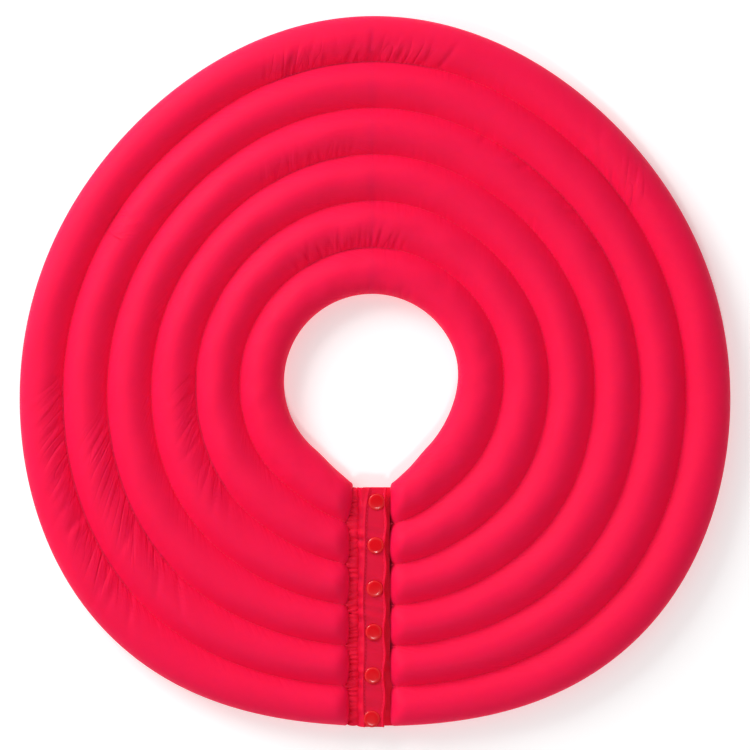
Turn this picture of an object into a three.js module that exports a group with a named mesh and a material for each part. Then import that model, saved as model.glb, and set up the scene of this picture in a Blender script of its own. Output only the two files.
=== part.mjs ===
// A soft, padded recovery collar for a pet, lying flat with its snaps upward.
// Millimetres, +Z up. The origin is the centre of the neck opening on the plane that
// the collar rests on. The closure is at the front, on -Y, and its overlap opens from +X.
import * as THREE from 'three';

// Plan of the ring
const ROLL_COUNT = 6;
const NECK_RADIUS = 64.7;
const NECK_TIP = 11.4;
const NECK_TIP_HALF_ANGLE = THREE.MathUtils.degToRad(41);
const NECK_FLAT = 3.4;
const NECK_FLAT_ANGLE = THREE.MathUtils.degToRad(-26);
const NECK_FLAT_HALF_ANGLE = THREE.MathUtils.degToRad(52);
const RIM_RADIUS = 262.9;
const RIM_LOBE_THREE = 6.4;
const RIM_LOBE_FOUR = 1.5;
const RIM_LOBE_FIVE = 1.6;
const RIM_SHIFT = 2.2;

// Section through the rolls
const THICKNESS = 27;
const SEAM_HEIGHT = 12;
const PANEL_THICKNESS = 0.8;
const PANEL_GAP = 0.3;
const FILLING_GAP = 0.5;
const SEAM_LAND = 0.018;
const INNER_WALL_SCALE = 0.96;
const FACE_CROWN = [[-1, 0], [-0.62, 0.84], [0, 1], [0.62, 0.84], [1, 0]];
const LINING_CROWN = [[-1, 0], [-0.72, 1], [0.72, 1], [1, 0]];
const FILLING_TOP = [[0.56, 0.84], [0, 1], [-0.56, 0.84]];
const FILLING_SIDE = 0.8;
const FILLING_BOTTOM = 0.6;

// Steps around the ring
const FRONT_ANGLE = -Math.PI / 2;
const REAR_STEPS = 10;
const FRONT_STEPS = 5;
const FOLD_GAP = 0.3;
const END_ROUNDING = 9;
const END_HEIGHT = 0.45;

// Closure: ends of the rolls, the flap above and the band below it
const LEFT_END_X = -16.5;
const RIGHT_END_X = 13.2;
const FLAP_HINGE_X = -7.7;
const FLAP_EDGE_X = 9.4;
const FLAP_EDGE_LEAN = 0.7;
const FLAP_SCALLOP = 0.9;
const BAND_EDGE_X = -6.6;
const CLOTH_BAND = 1.2;
const BAND_HEIGHT = 11;
const FLAP_HEIGHT = 16.7;
const CLOSURE_NEAR_Y = -77.5;
const CLOSURE_FAR_Y = -253;
const CORNER = 3;
const EDGE_STEPS = 24;

// Gathered seam between the left rolls and the flap
const GATHER_LEFT_X = -16.1;
const GATHER_RIGHT_X = -8.4;
const GATHER_BOTTOM = 8.5;
const GATHER_TOP = 17;
const GATHER_STEPS = 26;
const GATHER_RIPPLE = 1;

// Size 20 resin snaps
const SNAP_COUNT = 6;
const SNAP_FIRST_Y = -88;
const SNAP_PITCH = 31.8;
const SNAP_FIRST_X = 3.4;
const SNAP_LEAN = 0.7;
const SNAP_SIDES = 12;
const CAP_RADIUS = 6.2;
const CAP_THICKNESS = 1.6;
const PIN_RADIUS = 0.9;
const PIN_HOLE = 1.25;
const PIN_LENGTH = 2.6;
const SOCKET_RADIUS = 5.3;
const SOCKET_BORE = 2.8;
const SOCKET_BASE = 0.9;
const SOCKET_DEPTH = 2.6;
const STUD_FLANGE = 1;
const STUD_KNOB_RADIUS = 2.35;
const STUD_KNOB_HEIGHT = 1.7;
const STACK_GAP = 0.3;

const COLORS = { cover: 0xe01048, lining: 0xc80e40, filling: 0xf2f0ea, snap: 0xd81828 };

/** A smooth hump, 1 at its centre and 0 from halfWidth outwards. */
function hump(angle, centre, halfWidth) {
  const turn = Math.atan2(Math.sin(angle - centre), Math.cos(angle - centre));
  const reach = Math.min(1, Math.abs(turn) / halfWidth);
  return 0.5 + 0.5 * Math.cos(Math.PI * reach);
}

function neckRadius(angle) {
  const tip = NECK_TIP * hump(angle, FRONT_ANGLE, NECK_TIP_HALF_ANGLE);
  const flat = NECK_FLAT * hump(angle, NECK_FLAT_ANGLE, NECK_FLAT_HALF_ANGLE);
  return NECK_RADIUS + tip - flat;
}

function rimRadius(angle) {
  const three = -RIM_LOBE_THREE * Math.sin(3 * angle);
  const four = -RIM_LOBE_FOUR * Math.cos(4 * angle);
  const five = RIM_LOBE_FIVE * Math.sin(5 * angle);
  return RIM_RADIUS + three + four + five + RIM_SHIFT * Math.cos(angle);
}

/** Radius at ring coordinate s: 0 on the neck edge, ROLL_COUNT on the rim. */
function ringRadius(s, angle) {
  return THREE.MathUtils.lerp(neckRadius(angle), rimRadius(angle), s / ROLL_COUNT);
}

/** The angle at which ring coordinate s reaches the line x, close to the front. */
function angleAtX(s, x) {
  let angle = FRONT_ANGLE;
  for (let pass = 0; pass < 6; pass += 1) {
    angle = FRONT_ANGLE + Math.asin(x / ringRadius(s, angle));
  }
  return angle;
}

/** Ring coordinate of the point w (-1 to 1) across one roll. */
function ringCoordinate(roll, w) {
  return roll + 0.5 + w * (0.5 - SEAM_LAND);
}

/** A part of the ring: where each station lies, and how full the rolls are there. */
function rearStretch() {
  const stations = [];
  for (let step = 0; step <= REAR_STEPS; step += 1) {
    stations.push({ angleAt: () => (Math.PI * step) / REAR_STEPS, fullness: 1 });
  }
  return { stations, shift: FOLD_GAP / 2 };
}

function frontStretch(side) {
  const endX = side === 'left' ? LEFT_END_X : RIGHT_END_X;
  const foldAngle = side === 'left' ? -Math.PI : 0;
  const roundedX = endX + Math.sign(endX) * END_ROUNDING;
  const stations = [];
  for (let step = 0; step <= FRONT_STEPS; step += 1) {
    const share = step / FRONT_STEPS;
    const angleAt = (s) => THREE.MathUtils.lerp(foldAngle, angleAtX(s, roundedX), share);
    stations.push({ angleAt, fullness: 1 });
  }
  stations.push({ angleAt: (s) => angleAtX(s, endX), fullness: END_HEIGHT });
  return { stations, shift: -FOLD_GAP / 2 };
}

function ringPoint(station, shift, s, z) {
  const angle = station.angleAt(s);
  const radius = ringRadius(s, angle);
  return new THREE.Vector3(radius * Math.cos(angle), radius * Math.sin(angle) + shift, z);
}

/** Triangles that fill a flat loop, wound the same way as the loop itself. */
function fillLoop(loop) {
  const loopSign = Math.sign(THREE.ShapeUtils.area(loop));
  return THREE.ShapeUtils.triangulateShape(loop, []).map((corners) => {
    const area = THREE.ShapeUtils.area(corners.map((corner) => loop[corner]));
    return Math.sign(area) === loopSign ? corners : [...corners].reverse();
  });
}

/** Closed body through a row of sections, each a loop of the same number of points. */
function loft(sections, flatten) {
  const count = sections[0].length;
  const last = (sections.length - 1) * count;
  const index = [];
  for (let row = 0; row < last; row += count) {
    for (let column = 0; column < count; column += 1) {
      const a = row + column;
      const b = row + ((column + 1) % count);
      index.push(a, b, b + count);
      index.push(a, b + count, a + count);
    }
  }
  for (const corners of fillLoop(sections[0].map(flatten))) {
    index.push(...[...corners].reverse());
  }
  for (const corners of fillLoop(sections.at(-1).map(flatten))) {
    index.push(...corners.map((corner) => corner + last));
  }
  const positions = sections.flat().flatMap((point) => point.toArray());
  const geometry = new THREE.BufferGeometry();
  geometry.setAttribute('position', new THREE.Float32BufferAttribute(positions, 3));
  geometry.setIndex(index);
  return facingOut(geometry);
}

function signedVolume(geometry) {
  const place = geometry.getAttribute('position');
  const corners = geometry.getIndex();
  const [a, b, c] = [new THREE.Vector3(), new THREE.Vector3(), new THREE.Vector3()];
  let volume = 0;
  for (let face = 0; face < corners.count; face += 3) {
    a.fromBufferAttribute(place, corners.getX(face));
    b.fromBufferAttribute(place, corners.getX(face + 1));
    c.fromBufferAttribute(place, corners.getX(face + 2));
    volume += a.dot(b.cross(c)) / 6;
  }
  return volume;
}

/** Turns every face round when the body is inside out. */
function facingOut(geometry) {
  if (signedVolume(geometry) < 0) {
    geometry.setIndex(Array.from(geometry.getIndex().array).reverse());
  }
  geometry.computeVertexNormals();
  return geometry;
}

/** Height of a panel above or below the seam plane, from its share of the full crown. */
function crownHeight(share, fullness, depth) {
  return SEAM_HEIGHT + Math.sign(depth) * (PANEL_GAP / 2) + share * fullness * depth;
}

/** One panel's section: the outer skin across every roll, then back along the inner skin. */
function panelSection(station, shift, crown, direction) {
  const topDepth = THICKNESS - SEAM_HEIGHT - PANEL_GAP / 2 - PANEL_THICKNESS;
  const bottomDepth = SEAM_HEIGHT - PANEL_GAP / 2 - PANEL_THICKNESS;
  const depth = direction > 0 ? topDepth : -bottomDepth;
  const outer = [];
  const inner = [];
  for (let roll = 0; roll < ROLL_COUNT; roll += 1) {
    for (const [w, share] of crown) {
      const z = crownHeight(share, station.fullness, depth);
      const innerW = share === 0 ? w : w * INNER_WALL_SCALE;
      const outerZ = z + direction * PANEL_THICKNESS;
      outer.push(ringPoint(station, shift, ringCoordinate(roll, w), outerZ));
      inner.push(ringPoint(station, shift, ringCoordinate(roll, innerW), z));
    }
  }
  return [...outer, ...inner.reverse()];
}

function panel(stretch, crown, direction) {
  const { stations, shift } = stretch;
  const sections = stations.map((station) => panelSection(station, shift, crown, direction));
  return loft(sections, flattenRing);
}

/** One filling's section: crowned above, flat below, clear of both panels. */
function fillingSection(station, shift, roll) {
  const topDepth = THICKNESS - SEAM_HEIGHT - PANEL_GAP / 2 - PANEL_THICKNESS;
  const bottomDepth = SEAM_HEIGHT - PANEL_GAP / 2 - PANEL_THICKNESS;
  const bottom = crownHeight(1, station.fullness, -bottomDepth) + FILLING_GAP;
  const outline = FILLING_TOP.map(([w, share]) => {
    return [w, crownHeight(share, station.fullness, topDepth) - FILLING_GAP];
  });
  outline.push([-FILLING_SIDE, SEAM_HEIGHT]);
  outline.push([-FILLING_BOTTOM, bottom]);
  outline.push([FILLING_BOTTOM, bottom]);
  outline.push([FILLING_SIDE, SEAM_HEIGHT]);
  return outline.map(([w, z]) => ringPoint(station, shift, ringCoordinate(roll, w), z));
}

function filling(stretch, roll) {
  const { stations, shift } = stretch;
  const sections = stations.map((station) => fillingSection(station, shift, roll));
  return loft(sections, flattenRing);
}

/** Distance from the origin against height: a section's own plane, for its end face. */
function flattenRing(point) {
  return new THREE.Vector2(Math.hypot(point.x, point.y), point.z);
}

/** How far along the closure a place is, 0 at its inner end and 1 at its outer end. */
function closureShare(y) {
  return (CLOSURE_NEAR_Y - y) / (CLOSURE_NEAR_Y - CLOSURE_FAR_Y);
}

/** Where one snap stands in plan. */
function snapPlace(snap) {
  return new THREE.Vector2(SNAP_FIRST_X - SNAP_LEAN * snap, SNAP_FIRST_Y - SNAP_PITCH * snap);
}

/** The flap's free edge: drawn in at the snaps, standing out between them. */
function flapEdgeX(y) {
  const phase = (2 * Math.PI * (y - SNAP_FIRST_Y)) / SNAP_PITCH;
  const scallop = FLAP_SCALLOP * (0.5 - 0.5 * Math.cos(phase));
  return FLAP_EDGE_X + FLAP_EDGE_LEAN * (1 - 2 * closureShare(y)) + scallop;
}

/** A flat cloth band along the closure, with a hole for each snap's pin. */
function clothBand(leftX, rightEdge, height) {
  const outline = new THREE.Shape();
  outline.moveTo(leftX, CLOSURE_FAR_Y + CORNER);
  outline.quadraticCurveTo(leftX, CLOSURE_FAR_Y, leftX + CORNER, CLOSURE_FAR_Y);
  for (let step = 0; step <= EDGE_STEPS; step += 1) {
    const y = THREE.MathUtils.lerp(CLOSURE_FAR_Y, CLOSURE_NEAR_Y, step / EDGE_STEPS);
    outline.lineTo(rightEdge(y), y);
  }
  outline.lineTo(leftX + CORNER, CLOSURE_NEAR_Y);
  outline.quadraticCurveTo(leftX, CLOSURE_NEAR_Y, leftX, CLOSURE_NEAR_Y - CORNER);
  for (let snap = 0; snap < SNAP_COUNT; snap += 1) {
    const { x, y } = snapPlace(snap);
    const hole = new THREE.Path();
    hole.absarc(x, y, PIN_HOLE, 0, 2 * Math.PI, true);
    outline.holes.push(hole);
  }
  const settings = { depth: CLOTH_BAND, bevelEnabled: false, curveSegments: CORNER };
  return new THREE.ExtrudeGeometry(outline, settings).translate(0, 0, height);
}

/** The puckered strip where the left rolls' ends are gathered into the flap. */
function gatheredSeam() {
  const middle = (GATHER_LEFT_X + GATHER_RIGHT_X) / 2;
  const half = (GATHER_RIGHT_X - GATHER_LEFT_X) / 2;
  const centreHeight = (GATHER_BOTTOM + GATHER_TOP) / 2;
  const sections = [];
  for (let step = 0; step <= GATHER_STEPS; step += 1) {
    const y = THREE.MathUtils.lerp(CLOSURE_NEAR_Y, CLOSURE_FAR_Y, step / GATHER_STEPS);
    const top = GATHER_TOP - (step % 2) * GATHER_RIPPLE;
    const outline = [
      [middle - half * 0.5, top],
      [middle - half, centreHeight],
      [middle - half * 0.5, GATHER_BOTTOM],
      [middle + half * 0.5, GATHER_BOTTOM],
      [middle + half, centreHeight],
      [middle + half * 0.5, top],
    ];
    sections.push(outline.map(([x, z]) => new THREE.Vector3(x, y, z)));
  }
  return loft(sections, (point) => new THREE.Vector2(point.x, point.z));
}

/** A round piece turned about the upright axis from a [radius, height] profile. */
function turned(profile) {
  const points = profile.map(([radius, height]) => new THREE.Vector2(radius, height));
  const geometry = new THREE.LatheGeometry(points, SNAP_SIDES).rotateX(Math.PI / 2);
  return facingOut(geometry);
}

/** Cap with its pin; direction 1 has the cap above the cloth, -1 below it. */
function snapCap(clothFace, direction) {
  const shoulder = CAP_RADIUS * 0.86;
  const near = clothFace + direction * STACK_GAP;
  const far = near + direction * CAP_THICKNESS;
  return turned([
    [0, far],
    [shoulder, far - direction * CAP_THICKNESS * 0.15],
    [CAP_RADIUS, far - direction * CAP_THICKNESS * 0.6],
    [CAP_RADIUS, near],
    [PIN_RADIUS, near],
    [PIN_RADIUS, near - direction * PIN_LENGTH],
    [0, near - direction * PIN_LENGTH],
  ]);
}

/** Socket below the flap: a ring with a bore that takes the stud's knob. */
function snapSocket() {
  const top = FLAP_HEIGHT - STACK_GAP;
  const base = top - SOCKET_BASE;
  const mouth = top - SOCKET_DEPTH;
  return turned([
    [PIN_HOLE, top],
    [PIN_HOLE, base],
    [SOCKET_BORE, base],
    [SOCKET_BORE, mouth],
    [SOCKET_RADIUS, mouth],
    [SOCKET_RADIUS, top],
    [PIN_HOLE, top],
  ]);
}

/** Stud on the lower band: a flange and a hollow knob that enters the socket. */
function snapStud() {
  const bottom = BAND_HEIGHT + CLOTH_BAND + STACK_GAP;
  const flange = bottom + STUD_FLANGE;
  const knob = flange + STUD_KNOB_HEIGHT;
  return turned([
    [PIN_HOLE, bottom],
    [SOCKET_RADIUS, bottom],
    [SOCKET_RADIUS, flange],
    [STUD_KNOB_RADIUS, flange],
    [STUD_KNOB_RADIUS, knob],
    [PIN_HOLE, knob],
    [PIN_HOLE, bottom],
  ]);
}

function named(name, geometry, color, roughness) {
  const material = new THREE.MeshStandardMaterial({ color, roughness, metalness: 0 });
  const mesh = new THREE.Mesh(geometry, material);
  mesh.name = name;
  return mesh;
}

/** Face, lining and one filling per roll for a stretch of the ring. */
function paddedStretch(suffix, stretch) {
  const group = new THREE.Group();
  const face = panel(stretch, FACE_CROWN, 1);
  const lining = panel(stretch, LINING_CROWN, -1);
  group.add(named(`face_panel_${suffix}`, face, COLORS.cover, 0.45));
  group.add(named(`lining_panel_${suffix}`, lining, COLORS.lining, 0.5));
  for (let roll = 0; roll < ROLL_COUNT; roll += 1) {
    const body = filling(stretch, roll);
    group.add(named(`filling_${roll + 1}_${suffix}`, body, COLORS.filling, 0.95));
  }
  return group;
}

/** One turned piece at every snap, numbered from the neck outwards. */
function snapRow(name, makeGeometry) {
  const group = new THREE.Group();
  for (let snap = 0; snap < SNAP_COUNT; snap += 1) {
    const piece = named(`${name}_${snap + 1}`, makeGeometry(), COLORS.snap, 0.25);
    const { x, y } = snapPlace(snap);
    piece.position.set(x, y, 0);
    group.add(piece);
  }
  return group;
}

function flap() {
  const group = new THREE.Group();
  const band = clothBand(FLAP_HINGE_X, flapEdgeX, FLAP_HEIGHT);
  group.add(named('over_placket', band, COLORS.cover, 0.45));
  group.add(snapRow('snap_cap', () => snapCap(FLAP_HEIGHT + CLOTH_BAND, 1)));
  group.add(snapRow('snap_socket', snapSocket));
  return group;
}

function studBand() {
  const group = new THREE.Group();
  const bandEnd = RIGHT_END_X - PANEL_GAP;
  const band = clothBand(BAND_EDGE_X, () => bandEnd, BAND_HEIGHT);
  group.add(named('under_placket', band, COLORS.cover, 0.45));
  group.add(snapRow('snap_stud', snapStud));
  group.add(snapRow('stud_cap', () => snapCap(BAND_HEIGHT, -1)));
  return group;
}

const collar = new THREE.Group();
collar.add(paddedStretch('rear', rearStretch()));
collar.add(paddedStretch('left', frontStretch('left')));
collar.add(paddedStretch('right', frontStretch('right')));
collar.add(named('gathered_end_seam', gatheredSeam(), COLORS.cover, 0.5));
collar.add(flap());
collar.add(studBand());

export default collar;
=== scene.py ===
"""Looks of a flat padded recovery collar: quilted cover, fibre fillings, snap placket and studio.

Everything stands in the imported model's own frame, in metres: +Z up, the closure on -Y, the
origin at the centre of the neck opening on the plane that the collar rests on.
"""

import logging
import math
from dataclasses import dataclass, field
from enum import Enum

import bmesh
import bpy
import numpy as np
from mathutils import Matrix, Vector


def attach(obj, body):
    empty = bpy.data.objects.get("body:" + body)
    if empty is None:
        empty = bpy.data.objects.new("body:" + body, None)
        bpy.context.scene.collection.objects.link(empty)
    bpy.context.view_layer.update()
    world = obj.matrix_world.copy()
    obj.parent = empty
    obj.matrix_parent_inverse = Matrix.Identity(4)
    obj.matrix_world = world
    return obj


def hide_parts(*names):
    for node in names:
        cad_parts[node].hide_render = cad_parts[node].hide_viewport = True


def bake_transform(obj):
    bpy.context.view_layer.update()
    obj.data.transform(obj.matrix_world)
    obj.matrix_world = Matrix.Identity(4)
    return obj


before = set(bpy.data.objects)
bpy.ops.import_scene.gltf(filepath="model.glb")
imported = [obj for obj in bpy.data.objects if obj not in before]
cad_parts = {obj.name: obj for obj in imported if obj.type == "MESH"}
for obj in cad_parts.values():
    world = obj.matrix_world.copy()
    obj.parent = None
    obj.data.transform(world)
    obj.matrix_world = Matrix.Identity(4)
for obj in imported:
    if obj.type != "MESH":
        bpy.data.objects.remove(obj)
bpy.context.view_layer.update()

MM = 0.001
LOG = logging.getLogger("collar")
Array = np.ndarray


class Side(Enum):
    """A front of the collar, on either side of the closure."""

    LEFT = "left"
    RIGHT = "right"

    @property
    def body(self) -> str:
        """The body that this front rides on."""
        return f"{self.value}_front"


class Flank(Enum):
    """The slope of a roll that a crease starts from."""

    INNER = -1
    OUTER = 1


# ---------------------------------------------------------------- shared curves


def turn_from(angle: Array, centre: float) -> Array:
    """The signed turn from one angle to another, within half a turn either way."""
    return np.arctan2(np.sin(angle - centre), np.cos(angle - centre))


def smooth(share: Array) -> Array:
    """Eases a share from 0 to 1, level at both ends."""
    return share * share * (3 - 2 * share)


def round_end(share: Array, least: float = 0.0) -> Array:
    """Height of a quarter-round end: 0, or the square root of least, at 0 and full at 1."""
    return np.sqrt(np.clip(1 - (1 - np.clip(share, 0, 1)) ** 2, least, 1))


def bell(distance: Array, width: float) -> Array:
    """A bell curve, 1 at distance 0."""
    return np.exp(-((distance / width) ** 2))


# ---------------------------------------------------------------- plan of the ring


@dataclass(frozen=True)
class RingPlan:
    """Outline of the collar seen from above: a drop-shaped neck inside a softly lobed rim."""

    rolls: int = 6
    neck_radius: float = 64.7 * MM
    neck_tip: float = 11.4 * MM
    tip_half_angle: float = math.radians(41)
    neck_flat: float = 3.4 * MM
    flat_angle: float = math.radians(-26)
    flat_half_angle: float = math.radians(52)
    rim_radius: float = 262.9 * MM
    lobe_three: float = 6.4 * MM
    lobe_four: float = 1.5 * MM
    lobe_five: float = 1.6 * MM
    rim_shift: float = 2.2 * MM
    front_angle: float = -math.pi / 2
    left_end: float = -16.5 * MM
    left_slant: float = 3.5 * MM
    right_end: float = 13.2 * MM

    @staticmethod
    def hump(angle: Array, centre: float, half_width: float) -> Array:
        """A smooth hump, 1 at its centre and 0 from half_width outwards."""
        reach = np.minimum(1.0, np.abs(turn_from(angle, centre)) / half_width)
        return 0.5 + 0.5 * np.cos(math.pi * reach)

    def neck(self, angle: Array) -> Array:
        """Radius of the neck edge at an angle."""
        tip = self.neck_tip * self.hump(angle, self.front_angle, self.tip_half_angle)
        flat = self.neck_flat * self.hump(angle, self.flat_angle, self.flat_half_angle)
        return self.neck_radius + tip - flat

    def rim(self, angle: Array) -> Array:
        """Radius of the rim at an angle."""
        lobes = -self.lobe_three * np.sin(3 * angle) - self.lobe_four * np.cos(4 * angle)
        lobes = lobes + self.lobe_five * np.sin(5 * angle)
        return self.rim_radius + lobes + self.rim_shift * np.cos(angle)

    def radius(self, s: Array, angle: Array) -> Array:
        """Radius at ring coordinate s, which is 0 on the neck edge and rolls on the rim."""
        neck = self.neck(angle)
        return neck + (self.rim(angle) - neck) * s / self.rolls

    def ring_coordinate(self, radius: Array, angle: Array) -> Array:
        """The ring coordinate at a radius: the inverse of radius()."""
        neck = self.neck(angle)
        return (radius - neck) / (self.rim(angle) - neck) * self.rolls

    def end_x(self, side: Side, s: Array) -> Array:
        """The X of the rolls' ends on one side of the closure, drawn in at the neck."""
        slant = self.left_slant * np.clip(1 - s, 0, 1)
        return self.left_end + slant if side is Side.LEFT else self.right_end + 0 * slant

    def angle_at_x(self, s: Array, x: Array) -> Array:
        """The angle near the front at which ring coordinate s reaches the line x.

        Args:
            s: Ring coordinates.
            x: The line's X at each ring coordinate, in metres.

        Returns:
            One angle for each ring coordinate.
        """
        angle = np.full_like(np.asarray(s, float), self.front_angle)
        for _ in range(6):
            angle = self.front_angle + np.arcsin(x / self.radius(s, angle))
        return angle

    def side_angle(self, s: Array, share: Array, side: Side) -> Array:
        """The angle at a share of the way from the closure (0) to the back (1).

        Args:
            s: Ring coordinates.
            share: Share of the way round, of a shape that broadcasts with s.
            side: Which way round the ring goes.

        Returns:
            Angles, in radians.
        """
        start = self.angle_at_x(s, self.end_x(side, s))
        back = -1.5 * math.pi if side is Side.LEFT else 0.5 * math.pi
        return start + (back - start) * share


# ---------------------------------------------------------------- mesh helpers


def add_object(name: str, data: bpy.types.ID) -> bpy.types.Object:
    """Puts a mesh, a light or a camera in the scene, at the origin."""
    made = bpy.data.objects.new(name, data)
    bpy.context.scene.collection.objects.link(made)
    return made


def mesh_object(name: str, points: Array, faces: list, edges: tuple = ()) -> bpy.types.Object:
    """Makes a smooth-shaded mesh object in the scene.

    Args:
        name: The piece's name.
        points: Vertex positions, in metres, one row each.
        faces: Tuples of vertex numbers.
        edges: Pairs of vertex numbers, for a mesh with no faces.

    Returns:
        The new object, at the origin.
    """
    mesh = bpy.data.meshes.new(name)
    mesh.from_pydata(points.tolist(), edges, faces)
    mesh.shade_smooth()
    mesh.validate()
    return add_object(name, mesh)


def grid_faces(rows: int, columns: int, close_rows: bool = False) -> list:
    """Quads of a grid whose vertices are numbered row by row.

    Args:
        rows: Number of vertex rows.
        columns: Number of vertex columns.
        close_rows: Whether the last row joins the first.

    Returns:
        The quads, as tuples of vertex numbers.
    """
    row = np.arange(rows if close_rows else rows - 1)[:, None]
    column = np.arange(columns - 1)[None, :]
    a = row * columns + column
    b = ((row + 1) % rows) * columns + column
    quads = np.stack([a, a + 1, b + 1, b], axis=-1).reshape(-1, 4)
    return [tuple(quad) for quad in quads.tolist()]


def tube_faces(rows: int, columns: int) -> list:
    """Faces of a closed tube, its rows joined round and both its ends filled."""
    first = np.arange(rows) * columns
    last = first[::-1] + columns - 1
    return grid_faces(rows, columns, True) + [tuple(first.tolist()), tuple(last.tolist())]


def store(mesh: bpy.types.Mesh, name: str, values: Array) -> None:
    """Keeps a number, or a vector of three, for each of a mesh's points.

    Args:
        mesh: The mesh.
        name: The attribute's name.
        values: One row for each point. Rows of three make vectors.
    """
    vector = values.ndim > 1 and values.shape[-1] == 3
    attribute = mesh.attributes.new(name, "FLOAT_VECTOR" if vector else "FLOAT", "POINT")
    attribute.data.foreach_set("vector" if vector else "value", values.astype(np.float32).ravel())


def face_out(piece: bpy.types.Object) -> None:
    """Turns a closed piece's faces outwards."""
    mesh = bmesh.new()
    mesh.from_mesh(piece.data)
    bmesh.ops.recalc_face_normals(mesh, faces=mesh.faces)
    if mesh.calc_volume(signed=True) < 0:
        bmesh.ops.reverse_faces(mesh, faces=mesh.faces)
    mesh.to_mesh(piece.data)
    mesh.free()


def refine(values: Array, axis: int) -> Array:
    """Doubles the steps along one axis with a smooth four-point rule.

    Args:
        values: Grid values, with any trailing axes.
        axis: The axis to refine.

    Returns:
        The finer grid. The given values stay where they are.
    """
    grid = np.moveaxis(values, axis, 0)
    before = np.concatenate([2 * grid[:1] - grid[1:2], grid[:-1]])[:-1]
    after = np.concatenate([grid[1:], 2 * grid[-1:] - grid[-2:-1]])[1:]
    middle = (9 * (grid[:-1] + grid[1:]) - (before + after)) / 16
    finer = np.empty((2 * len(grid) - 1, *grid.shape[1:]))
    finer[0::2] = grid
    finer[1::2] = middle
    return np.moveaxis(finer, 0, axis)


# ---------------------------------------------------------------- quilted cover

SHELL_CLOTH = {
    "quality": 6,
    "mass": 0.12,
    "tension_stiffness": 22,
    "compression_stiffness": 22,
    "shear_stiffness": 6,
    "bending_stiffness": 0.012,
    "tension_damping": 8,
    "compression_damping": 8,
    "air_damping": 2,
}


@dataclass(frozen=True)
class CreaseField:
    """A run of creases that start at a seam and fade out over one flank of a roll.

    Angles are in degrees anticlockwise from +X. The slant is the distance that a crease
    moves anticlockwise for each metre it climbs from its seam.
    """

    roll: int
    flank: Flank
    start: float
    stop: float
    count: int
    depth: float
    width: float
    length: float
    slant: float

    @classmethod
    def from_row(cls, row: tuple) -> "CreaseField":
        """Reads a run from a table row, whose depth, width and length are in millimetres."""
        return cls(*row[:5], *(size * MM for size in row[5:8]), row[8])


@dataclass
class CoverGrid:
    """The whole cover as one grid of points: rows across the section, columns along the ring.

    Rows run from the neck edge over the face to the rim, then back under the lining. Columns
    run from the closure's left end, round the back, to its right end.
    """

    points: Array
    ring: Array
    climb: Array
    angle: Array
    face_rows: int
    seam_rows: list
    middle: int
    slack: Array = field(default=None)
    drawn: Array = field(default=None)

    def refined(self) -> "CoverGrid":
        """The same cover with twice the steps both ways, kept sharp at every seam."""
        stops = [*self.seam_rows, len(self.points)]

        def finer(rows: Array) -> Array:
            """Refines closed rows of values between each seam and the next."""
            closed = np.concatenate([rows, rows[:1]])
            spans = [closed[first : last + 1] for first, last in zip(stops[:-1], stops[1:])]
            return np.concatenate([refine(span, 0)[:-1] for span in spans])

        return CoverGrid(
            points=refine(finer(self.points), 1),
            ring=finer(self.ring),
            climb=finer(self.climb),
            angle=refine(self.angle, 0),
            face_rows=2 * self.face_rows,
            seam_rows=[2 * row for row in self.seam_rows],
            middle=2 * self.middle,
        )

    def normals(self) -> Array:
        """Outward unit normals at every point, from its neighbours in the grid."""
        along = np.gradient(self.points, axis=1)
        around = np.roll(self.points, -1, axis=0) - np.roll(self.points, 1, axis=0)
        for row in self.seam_rows:
            around[row] = 0
        normal = np.cross(along, around)
        length = np.linalg.norm(normal, axis=2, keepdims=True)
        return normal / np.maximum(length, 1e-12)


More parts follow.
